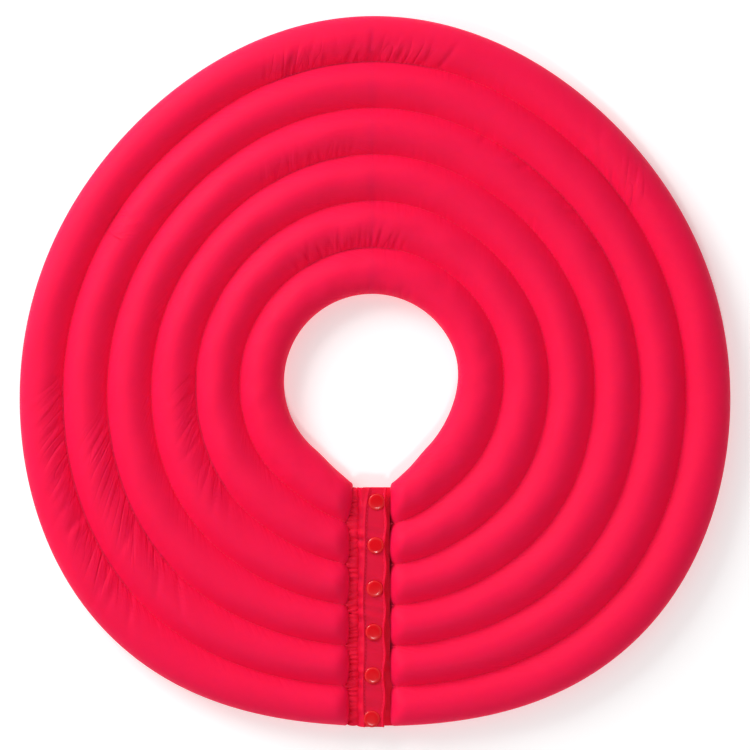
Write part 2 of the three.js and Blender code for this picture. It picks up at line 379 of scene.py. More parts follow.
@dataclass
class QuiltedCover:
    """Face and lining, sewn together along the channel seams and blown up by their filling."""

    plan: RingPlan
    seam_height: float = 12 * MM
    face_rise: float = 13.8 * MM
    lining_drop: float = 11.6 * MM
    layer_half_gap: float = 0.35 * MM
    face_seam_lift: float = 4.4 * MM
    lift_falloff: float = 1.5
    end_lift: float = 0.2
    flank_gap: float = 0.012
    flank_slope: float = 0.5
    end_round: float = 12 * MM
    face_steps: int = 8
    lining_steps: int = 6
    half_columns: int = 220
    end_tightness: float = 0.72
    end_reach: float = 0.03
    seam_draw: float = 3.2 * MM
    pressure: float = 5.0
    frames: int = 22
    rest_height: float = 0.3 * MM
    touch_gap: float = 0.001
    press: float = 0.02
    press_start: float = 0.93
    edge_bulge: float = 0.09
    swell: float = 0.55 * MM
    swells: int = 5
    seed: int = 7

    def share_steps(self) -> Array:
        """Shares of the way round one side, closer together near the closure."""
        share = np.linspace(0, 1, self.half_columns + 1)
        loss = self.end_tightness * self.end_reach
        eased = share - loss * (1 - np.exp(-share / self.end_reach))
        return eased / eased[-1]

    def rows(self) -> tuple:
        """The section's rows.

        Returns:
            Ring coordinate, climb (0 at a seam, 1 at the crown), side of the seam plane
            (1 face, -1 lining, 0 edge) and the numbers of the rows on seams.
        """
        ring, climb, side, seams = [], [], [], []
        order = list(range(self.plan.rolls))
        for direction, steps, rolls in (
            (1, self.face_steps, order),
            (-1, self.lining_steps, order[::-1]),
        ):
            for roll in rolls:
                seams.append(len(ring))
                for step in range(steps):
                    turn = math.pi * (step / steps - 0.5)
                    edge = step == 0 and roll == rolls[0]
                    outer = roll == 0 and turn < 0 or roll == order[-1] and turn > 0
                    slope = 0 if outer or direction < 0 else self.flank_slope
                    arch = (1 - slope) * math.sin(turn) + slope * 2 * turn / math.pi
                    across = direction * arch * (1 - self.flank_gap)
                    seam = roll + 0.5 - 0.5 * direction
                    ring.append(seam if step == 0 else roll + 0.5 + 0.5 * across)
                    climb.append(math.cos(turn) if step else 0.0)
                    side.append(0 if edge else direction)
        return np.array(ring), np.array(climb), np.array(side), seams

    def build_grid(self) -> CoverGrid:
        """The cover before it is filled: half-round channels with closed ends."""
        ring, climb, side, seams = self.rows()
        share = self.share_steps()[None, :]
        left = self.plan.side_angle(ring[:, None], share, Side.LEFT)
        right = self.plan.side_angle(ring[:, None], share, Side.RIGHT)
        angle = np.concatenate([left, right[:, -2::-1] - 2 * math.pi], axis=1)
        radius = self.plan.radius(ring[:, None], angle)
        x, y = radius * np.cos(angle), radius * np.sin(angle)
        left_end, right_end = (self.plan.end_x(end, ring[:, None]) for end in Side)
        inside = np.where(x < 0, left_end - x, x - right_end) / self.end_round
        depth = np.where(y < 0, np.clip(inside, 0, 1), 1.0)
        fullness = round_end(depth)
        rise = np.where(side > 0, self.face_rise, -self.lining_drop)[:, None]
        seam = np.isclose(ring % 1, 0)
        lift = self.face_seam_lift * (side > 0) * (1 - climb) ** np.where(seam, 1, self.lift_falloff)
        to_edge = np.minimum(ring, self.plan.rolls - ring)
        lift = (lift * np.where(seam, 1, np.minimum(1, 2 * to_edge)))[:, None]
        z = self.seam_height + side[:, None] * self.layer_half_gap
        z = z + lift * np.minimum(1, fullness + self.end_lift)
        z = z + (rise - lift) * climb[:, None] * fullness
        drawn = self.seam_draw * (1 - climb[:, None]) ** 2 * (1 - depth) ** 2
        x = x + np.sign(x) * drawn
        return CoverGrid(
            points=np.stack([x, y, z], axis=-1),
            ring=ring,
            climb=climb,
            angle=angle[0],
            face_rows=self.face_steps * self.plan.rolls,
            seam_rows=seams,
            middle=self.half_columns,
        )

    def fill(self, grid: CoverGrid) -> None:
        """Blows the channels up with the cloth solver, their seams and ends held still."""
        rows, columns = grid.points.shape[:2]
        cloth = mesh_object("cover_cloth", grid.points.reshape(-1, 3), grid_faces(rows, columns, True))
        numbers = np.arange(rows * columns).reshape(rows, columns)
        held = np.concatenate([numbers[grid.seam_rows].ravel(), numbers[:, 0], numbers[:, -1]])
        group = cloth.vertex_groups.new(name="sewn")
        group.add(np.unique(held).tolist(), 1.0, "REPLACE")
        solver = cloth.modifiers.new("Cloth", "CLOTH")
        settings = solver.settings
        settings.vertex_group_mass = group.name
        for name, value in SHELL_CLOTH.items():
            setattr(settings, name, value)
        settings.use_pressure = True
        settings.uniform_pressure_force = self.pressure
        settings.effector_weights.gravity = 0
        solver.collision_settings.use_collision = False
        solver.point_cache.frame_end = self.frames
        scene = bpy.context.scene
        for step in range(1, self.frames + 1):
            scene.frame_set(step)
        shaped = cloth.evaluated_get(bpy.context.evaluated_depsgraph_get()).data
        filled = np.empty(rows * columns * 3, np.float32)
        shaped.vertices.foreach_get("co", filled)
        grid.points[:] = filled.reshape(rows, columns, 3)
        scene.frame_set(1)
        bpy.data.objects.remove(cloth)

    def settle(self, grid: CoverGrid) -> None:
        """Presses the filled cover flat where it rests, and flat where two rolls meet."""
        x, y, z = np.moveaxis(grid.points, -1, 0)
        rest = self.rest_height
        z[:] = np.where(z < 2 * rest, rest + rest * np.exp((z - 2 * rest) / rest), z)
        angle = np.arctan2(y, x)
        place = self.plan.ring_coordinate(np.hypot(x, y), angle)
        roll = np.clip(np.round(grid.ring - 0.5), 0, self.plan.rolls - 1)[:, None]
        on_seam = np.isclose(grid.ring % 1, 0)[:, None]
        low = np.where(roll == 0, -self.edge_bulge, roll + self.touch_gap)
        last = self.plan.rolls - 1
        high = roll + 1 + np.where(roll == last, self.edge_bulge, -self.touch_gap)
        centre = (low + high) / 2
        reach = (high - low) / 2
        share = (place - centre) / reach
        pressed = (roll > 0) & (share < 0) | (roll < last) & (share > 0)
        widened = share * np.where(pressed, 1 + self.press, 1.0)
        over = np.maximum(np.abs(widened) - self.press_start, 0)
        room = 1 - self.press_start
        soft = np.sign(share) * (self.press_start + room * (1 - np.exp(-over / room)))
        shaped = np.where((np.abs(widened) > self.press_start) & pressed, soft, widened)
        held = np.where(on_seam, place, centre + reach * np.clip(shaped, -1, 1))
        radius = self.plan.radius(held, angle)
        x[:] = radius * np.cos(angle)
        y[:] = radius * np.sin(angle)

    def crease(self, grid: CoverGrid, runs: list) -> None:
        """Presses runs of creases into the flanks of the rolls.

        Args:
            grid: The settled cover, which is changed in place.
            runs: The CreaseFields to press in.
        """
        random = np.random.default_rng(self.seed)
        normal = grid.normals()
        steps = grid.face_rows // self.plan.rolls
        push = np.zeros(grid.points.shape[:2])
        grid.slack = np.zeros_like(push)
        grid.drawn = np.zeros((*push.shape, 3))
        for run in runs:
            rows = self.flank_rows(run, steps)
            points = grid.points[rows]
            gaps = np.linalg.norm(np.diff(points, axis=0), axis=2)
            climb = np.concatenate([np.zeros((1, gaps.shape[1])), np.cumsum(gaps, axis=0)])
            radius = np.hypot(points[..., 0], points[..., 1])
            angle = np.arctan2(points[..., 1], points[..., 0])
            middle = math.radians((run.start + run.stop) / 2)
            off = turn_from(angle, middle)
            reach = math.radians(abs(run.stop - run.start) / 2) + 2 * run.width / radius
            edge = np.clip((reach - np.abs(off)) / (0.3 * reach), 0, 1)
            fade = np.exp(-((climb / run.length) ** 3)) * smooth(edge)
            inside = fade > 0.001
            grid.slack[rows] = np.where(inside, fade * run.depth / MM, grid.slack[rows])
            beside = off * radius.mean() - run.slant * climb
            drawn = np.stack([beside + 0.5 * run.roll, climb, np.zeros_like(climb)], axis=-1)
            grid.drawn[rows] = np.where(inside[..., None], drawn, grid.drawn[rows])
            centres = np.linspace(run.start, run.stop, run.count)
            pitch = (run.stop - run.start) / max(run.count - 1, 1)
            for centre in np.radians(centres + random.normal(0, 0.28, run.count) * pitch):
                length = run.length * random.uniform(0.65, 1.35)
                width = run.width * random.uniform(0.7, 1.3)
                depth = run.depth * random.uniform(0.3, 1.25)
                slant = run.slant + random.normal(0, 0.16)
                bow = random.normal(0, 0.12) * climb**2 / run.length
                beside = turn_from(angle, centre) * radius - slant * climb - bow
                narrow = width * (0.6 + 0.7 * climb / length)
                furrow = np.exp(-np.sqrt((beside / narrow) ** 2 + 0.04) + 0.2)
                ridge = bell(beside - 1.6 * narrow, narrow)
                fade = np.exp(-((climb / length) ** 3)) * (1 - np.exp(-climb / (2 * MM)))
                push[rows] += depth * (0.5 * ridge - furrow) * fade
        grid.points += normal * push[..., None]

    def flank_rows(self, run: CreaseField, steps: int) -> list:
        """Row numbers of a face roll, from the seam that a run starts at to the other seam."""
        rows = list(range(run.roll * steps, (run.roll + 1) * steps))
        return rows if run.flank is Flank.INNER else [(run.roll + 1) * steps] + rows[:0:-1]

    def lump(self, grid: CoverGrid) -> None:
        """Lets uneven filling show as slow swells along every roll."""
        random = np.random.default_rng(self.seed + 1)
        normal = grid.normals()
        swell = np.zeros(grid.points.shape[:2])
        roll = np.clip(np.floor(grid.ring), 0, self.plan.rolls - 1).astype(int)
        for _ in range(self.swells):
            cycles = random.integers(7, 34, self.plan.rolls)[roll][:, None]
            phase = random.uniform(0, 2 * math.pi, self.plan.rolls)[roll][:, None]
            across = random.uniform(-1.5, 1.5, self.plan.rolls)[roll][:, None] * grid.ring[:, None]
            swell += np.sin(cycles * grid.angle[None, :] + phase + 2 * math.pi * across)
        swell *= self.swell / self.swells * grid.climb[:, None]
        grid.points += normal * swell[..., None]

    def build(self, runs: list) -> dict:
        """Makes the cover's two halves, which meet at the middle of the back.

        Args:
            runs: The CreaseFields to press into the face.

        Returns:
            The left and right pieces by side.
        """
        grid = self.build_grid()
        self.fill(grid)
        grid = grid.refined()
        self.settle(grid)
        self.lump(grid)
        self.crease(grid, runs)
        np.maximum(grid.points[..., 2], self.rest_height / 3, out=grid.points[..., 2])
        halves = {side: self.half(grid, side) for side in Side}
        self.match_normals(halves, grid)
        return halves

    def half(self, grid: CoverGrid, side: Side) -> bpy.types.Object:
        """One closed half of the cover, with its own cloth map and its seams kept sharp.

        Args:
            grid: The finished cover.
            side: Which half to make.

        Returns:
            The new piece.
        """
        columns = slice(0, grid.middle + 1) if side is Side.LEFT else slice(grid.middle, None)
        points = grid.points[:, columns]
        rows, count = points.shape[:2]
        name = f"quilted_cover_{side.value}"
        piece = mesh_object(name, points.reshape(-1, 3), tube_faces(rows, count))
        self.map_cloth(piece.data, points)
        self.mark_sharp(piece.data, grid.seam_rows, count)
        store(piece.data, "climb", np.repeat(grid.climb, count))
        store(piece.data, "slack", grid.slack[:, columns].ravel())
        store(piece.data, "drawn", grid.drawn[:, columns].reshape(-1, 3))
        return piece

    def map_cloth(self, mesh: bpy.types.Mesh, points: Array) -> None:
        """Gives a half a UV map in metres: along the ring, and across the section."""
        rows, count = points.shape[:2]
        along = np.linalg.norm(np.diff(points, axis=1), axis=2)
        along = np.concatenate([np.zeros((rows, 1)), np.cumsum(along, axis=1)], axis=1)
        across = np.linalg.norm(np.diff(points, axis=0, append=points[:1]), axis=2).mean(axis=1)
        across = np.concatenate([[0], np.cumsum(across)])
        along = np.concatenate([along, along[:1]])
        u = np.stack([along[:-1, :-1], along[:-1, 1:], along[1:, 1:], along[1:, :-1]], axis=-1)
        low = np.broadcast_to(across[:-1, None], (rows, count - 1))
        high = np.broadcast_to(across[1:, None], (rows, count - 1))
        v = np.stack([low, low, high, high], axis=-1)
        values = np.zeros((len(mesh.loops), 2), np.float32)
        values[: u.size] = np.stack([u.ravel(), v.ravel()], axis=-1)
        layer = mesh.uv_layers.new(name="cloth")
        layer.data.foreach_set("uv", values.ravel())

    def mark_sharp(self, mesh: bpy.types.Mesh, seams: list, count: int) -> None:
        """Keeps the shading broken along every seam row and round both end caps."""
        ends = np.empty(len(mesh.edges) * 2, np.int32)
        mesh.edges.foreach_get("vertices", ends)
        row, column = np.divmod(ends.reshape(-1, 2), count)
        on_seam = (row[:, 0] == row[:, 1]) & np.isin(row[:, 0], seams)
        on_end = (column[:, 0] == column[:, 1]) & np.isin(column[:, 0], [0, count - 1])
        sharp = mesh.attributes.new("sharp_edge", "BOOLEAN", "EDGE")
        sharp.data.foreach_set("value", on_seam | on_end)

    def match_normals(self, halves: dict, grid: CoverGrid) -> None:
        """Shades both halves alike where they meet, so that the join doesn't show."""
        rows = len(grid.points)
        near = grid.points[:, grid.middle - 1 : grid.middle + 2]
        around = np.roll(near, -1, axis=0)[:, 1] - near[:, 1]
        strip = np.cross(near[:, 2] - near[:, 0], around)
        strip /= np.linalg.norm(strip, axis=1, keepdims=True)
        before = np.roll(strip, 1, axis=0)
        sharp = np.zeros(rows, bool)
        sharp[grid.seam_rows] = True
        below = np.where(sharp[:, None], strip, strip + before)
        above = np.where(np.roll(sharp, -1)[:, None], strip, strip + np.roll(strip, -1, axis=0))
        for side, piece in halves.items():
            mesh = piece.data
            count = len(mesh.vertices) // rows
            normals = np.zeros((rows, count - 1, 4, 3), np.float32)
            column, corners = (count - 2, (1, 2)) if side is Side.LEFT else (0, (0, 3))
            normals[:, column, corners[0]] = below
            normals[:, column, corners[1]] = above
            flat = np.zeros((len(mesh.loops), 3), np.float32)
            flat[: rows * (count - 1) * 4] = normals.reshape(-1, 3)
            length = np.linalg.norm(flat, axis=1, keepdims=True)
            flat = np.where(length > 0, flat / np.maximum(length, 1e-9), 0)
            mesh.normals_split_custom_set(flat.tolist())


# ---------------------------------------------------------------- fillings


def close_tube(name: str, points: Array) -> bpy.types.Object:
    """Makes a closed tube from rings of points, its two ends filled.

    Args:
        name: The piece's name.
        points: Positions by row round the tube and column along it.

    Returns:
        The new piece, with its faces outwards and a cloth map in metres.
    """
    piece = mesh_object(name, points.reshape(-1, 3), tube_faces(*points.shape[:2]))
    around = np.linalg.norm(np.diff(points, axis=0, append=points[:1]), axis=2).mean(axis=1)
    around = np.concatenate([[0], np.cumsum(around)])
    along = np.linalg.norm(np.diff(points, axis=1), axis=2).mean(axis=0)
    along = np.concatenate([[0], np.cumsum(along)])
    layer = piece.data.uv_layers.new(name="cloth")
    values = np.zeros((len(piece.data.loops), 2), np.float32)
    low, high = np.meshgrid(around[:-1], along[:-1], indexing="ij")
    low_next, high_next = np.meshgrid(around[1:], along[1:], indexing="ij")
    corners = ((high, low), (high_next, low), (high_next, low_next), (high, low_next))
    flat = np.stack([np.stack(corner, axis=-1) for corner in corners], axis=2)
    values[: flat.size // 2] = flat.reshape(-1, 2)
    layer.data.foreach_set("uv", values.ravel())
    face_out(piece)
    return piece


@dataclass
class FibreFilling:
    """The stuffing of the rolls: loose, lumpy ropes of polyester fibre inside the cover."""

    plan: RingPlan
    height: float = 13.4 * MM
    half_height: float = 9.4 * MM
    half_width: float = 11.2 * MM
    lump: float = 0.9 * MM
    end_gap: float = 7 * MM
    end_taper: float = 8 * MM
    columns: int = 120
    around: int = 18
    seed: int = 21

    def build(self, roll: int, side: Side) -> bpy.types.Object:
        """Makes one side of one roll's filling.

        Args:
            roll: The roll's number, from 0 at the neck.
            side: Which side of the collar.

        Returns:
            The new closed piece.
        """
        random = np.random.default_rng(self.seed + 10 * roll + (side is Side.LEFT))
        turn = np.linspace(0, 2 * math.pi, self.around, endpoint=False)[:, None]
        ring = np.array([[roll + 0.5]])
        ends = self.plan.side_angle(ring, np.array([[0.0, 1.0]]), side)
        length = float(abs(ends[0, 1] - ends[0, 0]) * self.plan.radius(ring, ends[:, :1])[0, 0])
        share = np.linspace(self.end_gap / length, 1, self.columns)[None, :]
        angle = self.plan.side_angle(ring, share, side)
        radius = self.plan.radius(ring, angle)
        travel = (share - share[0, 0]) * length
        fullness = round_end(travel / self.end_taper, 0.002)
        lumps = np.mean([
            np.sin(random.integers(1, 4) * turn + random.uniform(120, 420) * travel
                   + random.uniform(0, 6))
            for _ in range(4)
        ], axis=0)
        reach = (1 + self.lump / self.half_height * lumps) * fullness
        radius = radius + self.half_width * np.cos(turn) * reach
        z = self.height + self.half_height * np.sin(turn) * reach
        points = np.stack([radius * np.cos(angle), radius * np.sin(angle), z], axis=-1)
        return close_tube(f"fibre_roll_{roll + 1}_{side.value}", points)


# ---------------------------------------------------------------- closure


@dataclass(frozen=True)
class ClosurePlan:
    """Where the placket and its snaps lie, in the frame's metres."""

    near_y: float = -77.5 * MM
    far_y: float = -253 * MM
    flap_left: float = -10.8 * MM
    hinge_x: float = -7.6 * MM
    flap_right: float = 9.4 * MM
    flap_lean: float = 0.7 * MM
    scallop: float = 1.5 * MM
    flap_height: float = 16.7 * MM
    band_left: float = -6.6 * MM
    band_right: float = 17.5 * MM
    band_height: float = 11 * MM
    cloth: float = 1.2 * MM
    snaps: int = 6
    snap_x: float = 3.4 * MM
    snap_y: float = -88 * MM
    snap_lean: float = -0.7 * MM
    snap_pitch: float = -31.8 * MM

    def snap_places(self, height: float) -> Array:
        """Positions of the snaps' axes at one height, from the neck outwards."""
        step = np.arange(self.snaps)
        x = self.snap_x + self.snap_lean * step
        y = self.snap_y + self.snap_pitch * step
        return np.stack([x, y, np.full(self.snaps, height)], axis=-1)

    def near_snap(self, y: Array) -> Array:
        """1 at a snap's place along the closure and 0 midway between two."""
        return 0.5 + 0.5 * np.cos(2 * math.pi * (y - self.snap_y) / self.snap_pitch)

    def free_edge(self, y: Array) -> Array:
        """X of the flap's free edge: drawn in at the snaps, standing out between them."""
        share = (self.near_y - y) / (self.near_y - self.far_y)
        loose = self.scallop * (1 - self.near_snap(y))
        return self.flap_right + self.flap_lean * (1 - 2 * share) + loose


@dataclass
class ClothStrip:
    """A hemmed strip of doubled cloth along the closure."""

    name: str
    closure: ClosurePlan
    stations: int = 200
    across: int = 40
    hem_width: float = 1.9 * MM
    hem_rise: float = 1.5 * MM
    groove: float = 0.4 * MM
    ripple: float = 0.16 * MM
    gather: float = 3.0
    droop: float = 0.5 * MM
    seed: int = 5
    upper: Array = field(default=None, init=False)

    def base(self, x: Array) -> Array:
        """Height of the strip's underside at each X."""
        return np.full_like(x, self.closure.band_height)

    def edges(self, y: Array) -> tuple:
        """X of the strip's left and right edges at each Y."""
        left = np.full_like(y, self.closure.band_left)
        return left, np.full_like(y, self.closure.band_right)

    def looseness(self, share: Array, y: Array) -> Array:
        """How far the strip's middle stands clear of its seat, from 0 to 1."""
        return np.zeros(np.broadcast_shapes(share.shape, y.shape))

    def hem_shift(self, y: Array) -> Array:
        """How far the left hem's ridge stands in from the left edge at each Y."""
        return np.zeros_like(y)

    def build(self) -> bpy.types.Object:
        """Makes the strip.

        Returns:
            The new closed piece, with a cloth map in metres.
        """
        random = np.random.default_rng(self.seed)
        y = np.linspace(self.closure.near_y, self.closure.far_y, self.stations)[None, :]
        share = (0.5 - 0.5 * np.cos(np.linspace(0, math.pi, self.across)))[:, None]
        left, right = self.edges(y)
        x = left + (right - left) * share
        edge = np.minimum(x - left, right - x)
        inset = np.minimum(x - left - self.hem_shift(y), right - x)
        hem = bell(inset - 0.45 * self.hem_width, 0.42 * self.hem_width)
        groove = bell(inset - 1.1 * self.hem_width, 0.2 * self.hem_width)
        wave = sum(
            random.uniform(0.4, 1)
            * np.sin(random.uniform(120, 900) * y + random.uniform(0, 6) + 4 * share)
            for _ in range(6)
        )
        top = self.closure.cloth + self.droop * self.looseness(share, y)
        top = top + self.hem_rise * hem * (1 + 0.14 * wave) - self.groove * groove
        top = top + self.ripple * wave * (1 - hem) * np.where(inset < 0, self.gather, 1.0)
        lower = self.droop * self.looseness(share, y)
        rounding = round_end(edge / MM)
        middle = (top + lower) / 2
        base = self.base(x)
        upper = base + middle + (top - middle) * rounding
        under = base + middle - (middle - lower) * rounding
        flat = np.broadcast_arrays(x, y, upper, under)
        self.upper = np.stack([flat[0], flat[1], flat[2]], axis=-1)
        back = np.stack([flat[0], flat[1], flat[3]], axis=-1)[-2:0:-1]
        return close_tube(self.name, np.concatenate([self.upper, back]))

    def stitch_path(self, place: float) -> Array:
        """Points along the strip's upper face at a distance from its edge.

        Args:
            place: Distance from the left edge, or from the right edge if below 0.

        Returns:
            A row of points just above the cloth.
        """
        path = []
        for column in np.moveaxis(self.upper, 1, 0)[2:-2]:
            x, y, z = column.T
            target = x[0] + place + self.hem_shift(y[:1])[0] if place > 0 else x[-1] + place
            path.append((target, y[0], np.interp(target, x, z) + 0.12 * MM))
        return np.array(path)


@dataclass
class SnapFlap(ClothStrip):
    """The over-placket: hinged at the left rolls' ends, hemmed, and wavy between its snaps."""

    tuck: float = 3.4 * MM

    def base(self, x: Array) -> Array:
        """Height of the flap's underside, which dips into the gathered seam past the hinge."""
        past = (self.closure.hinge_x - x) / (self.closure.hinge_x - self.closure.flap_left)
        return self.closure.flap_height - self.tuck * smooth(np.clip(past, 0, 1))

    def edges(self, y: Array) -> tuple:
        """X of the flap's sewn edge and its free edge at each Y."""
        return np.full_like(y, self.closure.flap_left), self.closure.free_edge(y)

    def hem_shift(self, y: Array) -> Array:
        """The ridge leans in towards the neck and wanders a little on its way."""
        run = self.closure.near_y - y
        lean = 4.6 * MM * np.exp(-run / (20 * MM)) + 0.5 * MM * (1 + np.sin(y * 95 + 1))
        return self.closure.hinge_x - self.closure.flap_left + lean

    def looseness(self, share: Array, y: Array) -> Array:
        """Pulled flat at each snap and a little loose between them."""
        return (1 - self.closure.near_snap(y)) * np.sin(math.pi * share)


@dataclass
class GatheredSeam:
    """The overlocked seam that draws the left rolls' ends into the flap, full of small pleats."""

    closure: ClosurePlan
    left: float = -20.6 * MM
    right: float = -7.0 * MM
    bottom: float = 9.0 * MM
    top: float = 17.2 * MM
    slope: float = 1.6 * MM
    hinge_dip: float = 3.4 * MM
    stations: int = 420
    around: int = 34
    end_taper: float = 3 * MM
    seed: int = 11
    upper: Array = field(default=None, init=False)

    def pleats(self, y: Array, turn: Array) -> Array:
        """Depth of the pleats: narrow, uneven furrows that lean across the seam."""
        random = np.random.default_rng(self.seed)
        depth = np.zeros(np.broadcast_shapes(y.shape, turn.shape))
        place = self.closure.near_y
        while place > self.closure.far_y:
            place -= random.uniform(1.2, 4.4) * MM
            lean = random.normal(0, 2.0) * MM
            width = random.uniform(0.4, 1.15) * MM
            depth += random.uniform(0.15, 1.35) * bell(y - place - lean * np.cos(turn), width)
        return depth

    def build(self) -> bpy.types.Object:
        """Makes the seam.

        Returns:
            The new closed piece, with a cloth map in metres.
        """
        random = np.random.default_rng(self.seed + 1)
        y = np.linspace(self.closure.near_y, self.closure.far_y, self.stations)[None, :]
        turn = np.linspace(0, 2 * math.pi, self.around, endpoint=False)[:, None]
        drift = np.mean([
            np.sin(random.uniform(60, 420) * y + random.uniform(0, 6)) for _ in range(5)
        ], axis=0)
        pleats = self.pleats(y, turn)
        middle, half = (self.left + self.right) / 2, (self.right - self.left) / 2
        centre, tall = (self.bottom + self.top) / 2, (self.top - self.bottom) / 2
        frill = np.clip(-np.cos(turn) + 0.7, 0, 1)
        above = np.clip(np.sin(turn), 0, 1) ** 0.4
        wide = half * np.sign(np.cos(turn)) * np.abs(np.cos(turn)) ** 0.7
        x = wide * (1 + 0.3 * frill * drift - 0.2 * pleats * frill)
        rise = np.sign(np.sin(turn)) * np.abs(np.sin(turn)) ** 0.55
        z = tall * rise * (1 + 0.12 * np.minimum(drift, 0) * frill - 0.34 * pleats * (0.3 + frill))
        z = z - self.slope * frill * above * (1 + 0.8 * drift)
        z = z - self.hinge_dip * above * np.clip(np.cos(turn) * 1.9 - 0.35, 0, 1)
        run = np.minimum(y - self.closure.far_y, self.closure.near_y - y) / self.end_taper
        taper = round_end(run, 0.02)
        flat = np.broadcast_arrays(middle + x * taper, y, centre + z * taper)
        points = np.stack(flat, axis=-1)
        self.upper = points[: self.around // 2]
        return close_tube("gathered_overlock_seam", points)

    def loop_path(self, place: float) -> Array:
        """Points just above the seam's upper face at one X."""
        row = int(np.argmin(np.abs(self.upper[:, self.stations // 2, 0] - place)))
        return self.upper[row, 6:-6] + np.array([0, 0, 0.15 * MM])


@dataclass(frozen=True)
class Snaps:
    """Six resin snaps: a cap and a socket on the flap, a stud and its cap on the band below."""

    closure: ClosurePlan
    cap_radius: float = 6.2 * MM
    cap_thickness: float = 1.7 * MM
    pin_radius: float = 0.9 * MM
    pin_length: float = 2.4 * MM
    socket_radius: float = 5.3 * MM
    bore: float = 2.8 * MM
    socket_depth: float = 2.6 * MM
    knob_radius: float = 2.35 * MM
    knob_height: float = 1.7 * MM
    flange: float = 1.0 * MM
    gap: float = 0.2 * MM
    sides: int = 48
    tilt: float = 0.07

    def cap_profile(self) -> list:
        """Cap with a gently domed rim and a pin below."""
        r, t = self.cap_radius, self.cap_thickness
        crown = [(0.0, 1.0), (0.25, 0.995), (0.5, 0.98), (0.66, 0.95), (0.7, 0.93), (0.82, 0.82),
                 (0.92, 0.71), (0.96, 0.6), (0.99, 0.45), (1.0, 0.3), (0.985, 0.1), (0.95, 0.0)]
        pin = [(self.pin_radius * 1.3, 0.0), (self.pin_radius, -0.2 * MM),
               (self.pin_radius, -self.pin_length), (0.0, -self.pin_length)]
        return [(share * r, up * t) for share, up in crown] + pin

    def socket_profile(self) -> list:
        """Socket ring, its mouth downwards, with a lip that grips the knob."""
        r, b, d = self.socket_radius, self.bore, self.socket_depth
        lip = 0.25 * MM
        inner = self.pin_radius * 1.4
        return [(inner, 0), (r - lip, 0), (r, -lip), (r, -0.4 * d), (0.86 * r, -0.55 * d),
                (0.8 * r, -d + lip), (0.74 * r, -d), (b + lip, -d), (b, -d + lip),
                (b + 0.2 * MM, -0.6 * d), (b, -0.36 * d), (inner, -0.36 * d), (inner, 0)]

    def stud_profile(self) -> list:
        """Stud: a flat flange and a knob with a rounded, hollow head."""
        r, k, f, h = self.socket_radius, self.knob_radius, self.flange, self.knob_height
        inner = self.pin_radius * 1.4
        return [(inner, 0), (r - 0.2 * MM, 0), (r, 0.2 * MM), (r, 0.7 * f), (r - 0.3 * MM, f),
                (1.25 * k, f), (0.92 * k, f + 0.2 * h), (0.9 * k, f + 0.45 * h), (k, f + 0.7 * h),
                (0.9 * k, f + 0.93 * h), (0.72 * k, f + h), (inner, f + h), (inner, 0)]

    def turned(self, name: str, profile: list) -> bpy.types.Object:
        """Turns a profile of (radius, height) about the upright axis.

        Args:
            name: The prototype's name.
            profile: Points from the axis outwards and back.

        Returns:
            The new closed mesh object, around the origin.
        """
        shape = bmesh.new()
        turn = np.linspace(0, 2 * math.pi, self.sides, endpoint=False)
        rings = []
        for radius, height in profile:
            around = turn if radius > 0 else turn[:1]
            spots = [(radius * math.cos(a), radius * math.sin(a), height) for a in around]
            rings.append([shape.verts.new(spot) for spot in spots])
        for lower, upper in zip(rings[:-1], rings[1:]):
            for step in range(self.sides):
                after = (step + 1) % self.sides
                corners = [lower[step % len(lower)], lower[after % len(lower)],
                           upper[after % len(upper)], upper[step % len(upper)]]
                shape.faces.new(list(dict.fromkeys(corners)))
        bmesh.ops.remove_doubles(shape, verts=shape.verts, dist=1e-7)
        mesh = bpy.data.meshes.new(name)
        shape.to_mesh(mesh)
        shape.free()
        mesh.shade_smooth()
        made = add_object(name, mesh)
        face_out(made)
        return made

    def rows(self) -> list:
        """The four rows of resin parts.

        Returns:
            For each, its name, body, prototype profile, height, turn-over and the CAD nodes'
            prefix.
        """
        plan = self.closure
        flap_top = plan.flap_height + plan.cloth
        band_top = plan.band_height + plan.cloth
        below_flap, below_band = plan.flap_height - self.gap, plan.band_height - self.gap
        cap, socket, stud = self.cap_profile(), self.socket_profile(), self.stud_profile()
        return [
            ("snap_caps", "snap_placket", cap, flap_top + self.gap, 0.0, "snap_cap"),
            ("snap_sockets", "snap_placket", socket, below_flap, 0.0, "snap_socket"),
            ("snap_studs", "right_front", stud, band_top + self.gap, 0.0, "snap_stud"),
            ("stud_caps", "right_front", cap, below_band, math.pi, "stud_cap"),
        ]


# ---------------------------------------------------------------- node trees


